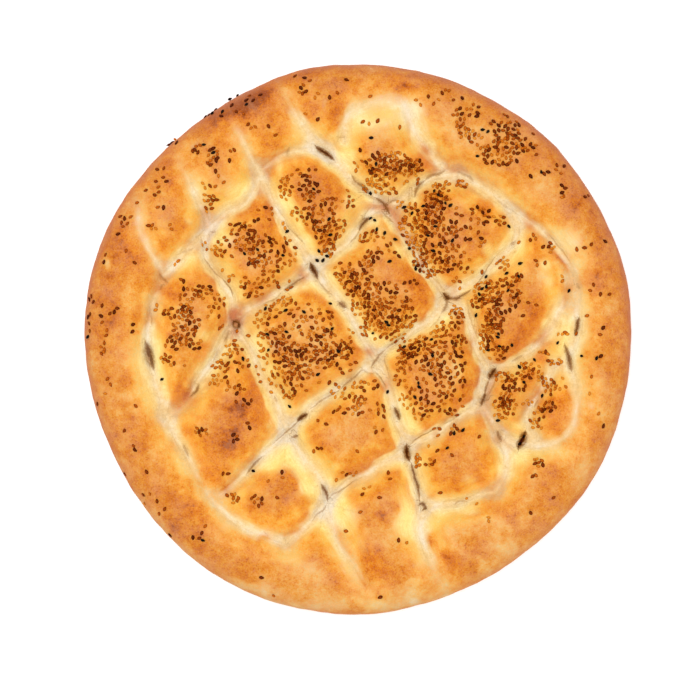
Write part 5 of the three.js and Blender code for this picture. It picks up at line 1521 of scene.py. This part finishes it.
def crust_material():
    material, tree, shader = start_material("baked_crust", *CRUST_FINISH)
    patch = noise_node(tree, *PATCH_NOISE)
    mottle = noise_node(tree, *MOTTLE_NOISE)
    grain = noise_node(tree, *GRAIN_NOISE)
    pores = noise_node(tree, *PORE_NOISE)
    brown = attribute_node(tree, "browning")
    brown = swing(tree, brown, *zip((patch, mottle, grain, pores), BROWNING_SWINGS))
    colour = ramp_node(tree, brown, CRUST_COLOURS)
    rosy = swing(tree, noise_node(tree, *ROSY_NOISE), (grain, ROSY_SWING))
    colour = mix_colour(tree, marks(tree, rosy, *ROSY_MARKS), colour, studio(*ROSY_COLOUR))
    burnt = soft_step(tree, brown, *BURNT_FROM)
    speck = math_node(tree, "MULTIPLY", marks(tree, pores, *SPECK_MARKS), burnt)
    colour = mix_colour(tree, speck, colour, studio(*SPECK_COLOUR))
    # Painted reflection: the side wall is mixed towards a pinkish colour, in mottled patches
    side = soft_step(tree, mottle, *SIDE_MOTTLE)
    side = math_node(tree, "MULTIPLY", attribute_node(tree, "side"), side)
    colour = mix_colour(tree, side, colour, studio(*SIDE_REFLECTION_COLOUR))

    lines = noise_node(tree, *LINE_NOISE, groove_lines(tree, LINE_STRETCH))
    fine_lines = noise_node(tree, *FINE_LINE_NOISE, groove_lines(tree, FINE_LINE_STRETCH))
    dough = swing(tree, attribute_node(tree, "dough"), *zip((mottle, lines), DOUGH_SWINGS))
    dough = soft_step(tree, dough, *DOUGH_EDGE)
    tone = swing(tree, patch, *zip((mottle, lines, grain), TONE_SWINGS))
    tone = math_node(tree, "MULTIPLY_ADD", attribute_node(tree, "milk"), MILK_SHARE, tone)
    colour = mix_colour(tree, dough, colour, ramp_node(tree, tone, DOUGH_COLOURS))
    crease = math_node(tree, "MULTIPLY", marks(tree, fine_lines, *CREASE_MARKS), dough)
    colour = mix_colour(tree, crease, colour, studio(*CREASE_COLOUR))

    across = math_node(tree, "ABSOLUTE", attribute_node(tree, "fold"))
    across = swing(tree, across, *zip((grain, pores), FOLD_SWINGS))
    # The folds and holes: partly their own browner colour and partly painted shade
    dark = attribute_node(tree, "fold_dark")
    fold = math_node(tree, "MULTIPLY", dark, soft_step(tree, across, *FOLD_EDGE))
    core = math_node(tree, "MULTIPLY", dark, soft_step(tree, across, *FOLD_CORE_EDGE))
    core = math_node(tree, "POWER", core, FOLD_CORE_POWER)
    # Painted light: the pillows' slopes are coloured lighter and more saturated than the tops, standing
    # in for how the light falls on them
    colour = mix_colour(tree, attribute_node(tree, "flank_painted_light"), colour, FLANK_PAINTED_LIGHT, "MULTIPLY")
    brightness = swing(tree, 1.0, (grain, BRIGHTNESS_SWING), (pores, BRIGHTNESS_SWING))
    colour = brighten(tree, colour, brightness)
    # Painted highlights: fine white glints mixed into the crust's colour
    painted_glint = marks(tree, noise_node(tree, *PAINTED_GLINT_NOISE), *PAINTED_GLINT_MARKS)
    colour = mix_colour(tree, painted_glint, colour, WHITE)
    # Painted shade in the folds and holes, over their own browner colour
    colour = mix_colour(tree, fold, colour, studio(*FOLD_BROWN_AND_SHADE))
    colour = mix_colour(tree, core, colour, studio(*FOLD_CORE_BROWN_AND_SHADE))
    tree.links.new(colour, shader.inputs["Base Color"])

    rough = math_node(tree, "MULTIPLY_ADD", grain, GRAIN_ROUGHNESS, LEAST_ROUGHNESS)
    tree.links.new(rough, shader.inputs["Roughness"])
    ridges = math_node(tree, "MULTIPLY", lines, dough)
    dents = math_node(tree, "MULTIPLY", fold, -1)
    normal = None
    for height, bump in zip((patch, mottle, grain, pores, ridges, dents), CRUST_BUMPS):
        normal = bump_node(tree, height, *bump, normal)
    tree.links.new(normal, shader.inputs["Normal"])
    return material


SESAME_COLOURS = [
    (0.0, (236, 148, 40)),
    (0.3, (208, 106, 16)),
    (0.55, (166, 70, 4)),
    (0.8, (116, 42, 2)),
    (1.0, (66, 18, 2)),
]

SESAME_NOISE = (900, 2, 0.55)
SESAME_SWING = 0.12

# How much darker each seed is painted at its edge, as painted shade, and paler at its crown, as painted
# light
SEED_EDGE_SHADE_CROWN_LIGHT = 0.17


def sesame_material():
    material, tree, shader = start_material("toasted_sesame", *SESAME_FINISH)
    noise = noise_node(tree, *SESAME_NOISE)
    toast = swing(tree, attribute_node(tree, "toast"), (noise, SESAME_SWING))
    # Painted shade at each seed's edge and painted light on its crown
    edge = math_node(tree, "MULTIPLY_ADD", attribute_node(tree, "crown"), -2 * SEED_EDGE_SHADE_CROWN_LIGHT, SEED_EDGE_SHADE_CROWN_LIGHT)
    toast = math_node(tree, "ADD", toast, edge)
    tree.links.new(ramp_node(tree, toast, SESAME_COLOURS), shader.inputs["Base Color"])
    return material


NIGELLA_COLOURS = [(0.3, (10, 4, 3)), (0.7, (34, 14, 8))]
NIGELLA_NOISE = (1500, 3, 0.55)
NIGELLA_BUMP = (0.0002, 0.6)
PAPER_COLOURS = [(0.0, (255, 255, 255)), (1.0, (254, 254, 254))]
PAPER_NOISE = (3, 1, 0.55)


def nigella_material():
    material, tree, shader = start_material("black_cumin", *NIGELLA_FINISH)
    grain = noise_node(tree, *NIGELLA_NOISE)
    colour = ramp_node(tree, grain, NIGELLA_COLOURS)
    tree.links.new(colour, shader.inputs["Base Color"])
    tree.links.new(bump_node(tree, grain, *NIGELLA_BUMP), shader.inputs["Normal"])
    return material


def paper_material():
    material, tree, shader = start_material("pale_floor", *PAPER_FINISH)
    shade = noise_node(tree, *PAPER_NOISE)
    colour = ramp_node(tree, shade, PAPER_COLOURS, 1)
    tree.links.new(colour, shader.inputs["Base Color"])
    return material


# The object


def dress(piece, material):
    piece.data.materials.clear()
    piece.data.materials.append(material)
    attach(piece, "root")


loaf = make_loaf()
dress(loaf, crust_material())
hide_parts("pita_bread")

nigella_places = lay_nigella()
sesame_places = scatter_sesame([tuple(place[:2]) for place in nigella_places])

sesame_grain = model_grain("sesame_grain", SESAME_HALF_SIZE, SESAME_TIP)
sesame = seeds_from(sesame_grain, "sesame_seeds", sesame_places, SESAME_PROUD)
grain_corners = len(sesame.data.vertices) // len(sesame_places)
add_attribute(sesame.data, "toast", np.repeat(sesame_toast(sesame_places), grain_corners))
dress(sesame, sesame_material())

nigella_grain = model_grain("nigella_grain", NIGELLA_HALF_SIZE, NIGELLA_TIP)
nigella = seeds_from(nigella_grain, "black_cumin_seeds", nigella_places, NIGELLA_PROUD)
dress(nigella, nigella_material())

# The floor, the light and the camera

# The floor's width, and each softbox's place and size, in metres, with its power in watts
FLOOR_SIZE = 6
KEY_LIGHT = ((-0.5, 0.4, 1.7), 1.2, 19)
FILL_LIGHT = ((0.6, -0.4, 1.7), 1.6, 14)

bpy.ops.object.select_all(action="DESELECT")
bpy.ops.mesh.primitive_plane_add(size=FLOOR_SIZE)
floor = bpy.context.object
floor.name = "floor"
floor.data.materials.append(paper_material())


def softbox(name, place, size, power):
    light = bpy.data.lights.new(name, "AREA")
    light.size = size
    light.energy = power
    lamp = bpy.data.objects.new(name, light)
    lamp.location = place
    lamp.rotation_euler = (-Vector(place)).to_track_quat("-Z", "Y").to_euler()
    bpy.context.scene.collection.objects.link(lamp)


softbox("key", *KEY_LIGHT)
softbox("fill", *FILL_LIGHT)

world = bpy.data.worlds.new("studio")
world.use_nodes = True
world.node_tree.nodes["Background"].inputs["Color"].default_value = (1, 1, 1, 1)
world.node_tree.nodes["Background"].inputs["Strength"].default_value = 1.0
bpy.context.scene.world = world
bpy.context.scene.view_settings.view_transform = "Standard"

# The photo is taken from straight above. Its frame is 700 pixels wide, and the loaf's middle lies
# right of and above the frame's middle by these amounts.
FRAME_WIDTH = 358.3
LOAF_RIGHT = 3.8
LOAF_UP = 5.6
CAMERA_HEIGHT = 2500
SENSOR = 36
FAR_CLIP = 100

camera_data = bpy.data.cameras.new("camera")
camera_data.sensor_width = SENSOR
camera_data.lens = SENSOR * (CAMERA_HEIGHT - WIDEST_HEIGHT) / FRAME_WIDTH
camera_data.clip_end = FAR_CLIP
camera = bpy.data.objects.new("camera", camera_data)
camera.location = (-LOAF_RIGHT * MM, -LOAF_UP * MM, CAMERA_HEIGHT * MM)
bpy.context.scene.collection.objects.link(camera)
bpy.context.scene.camera = camera

bpy.context.view_layer.update()
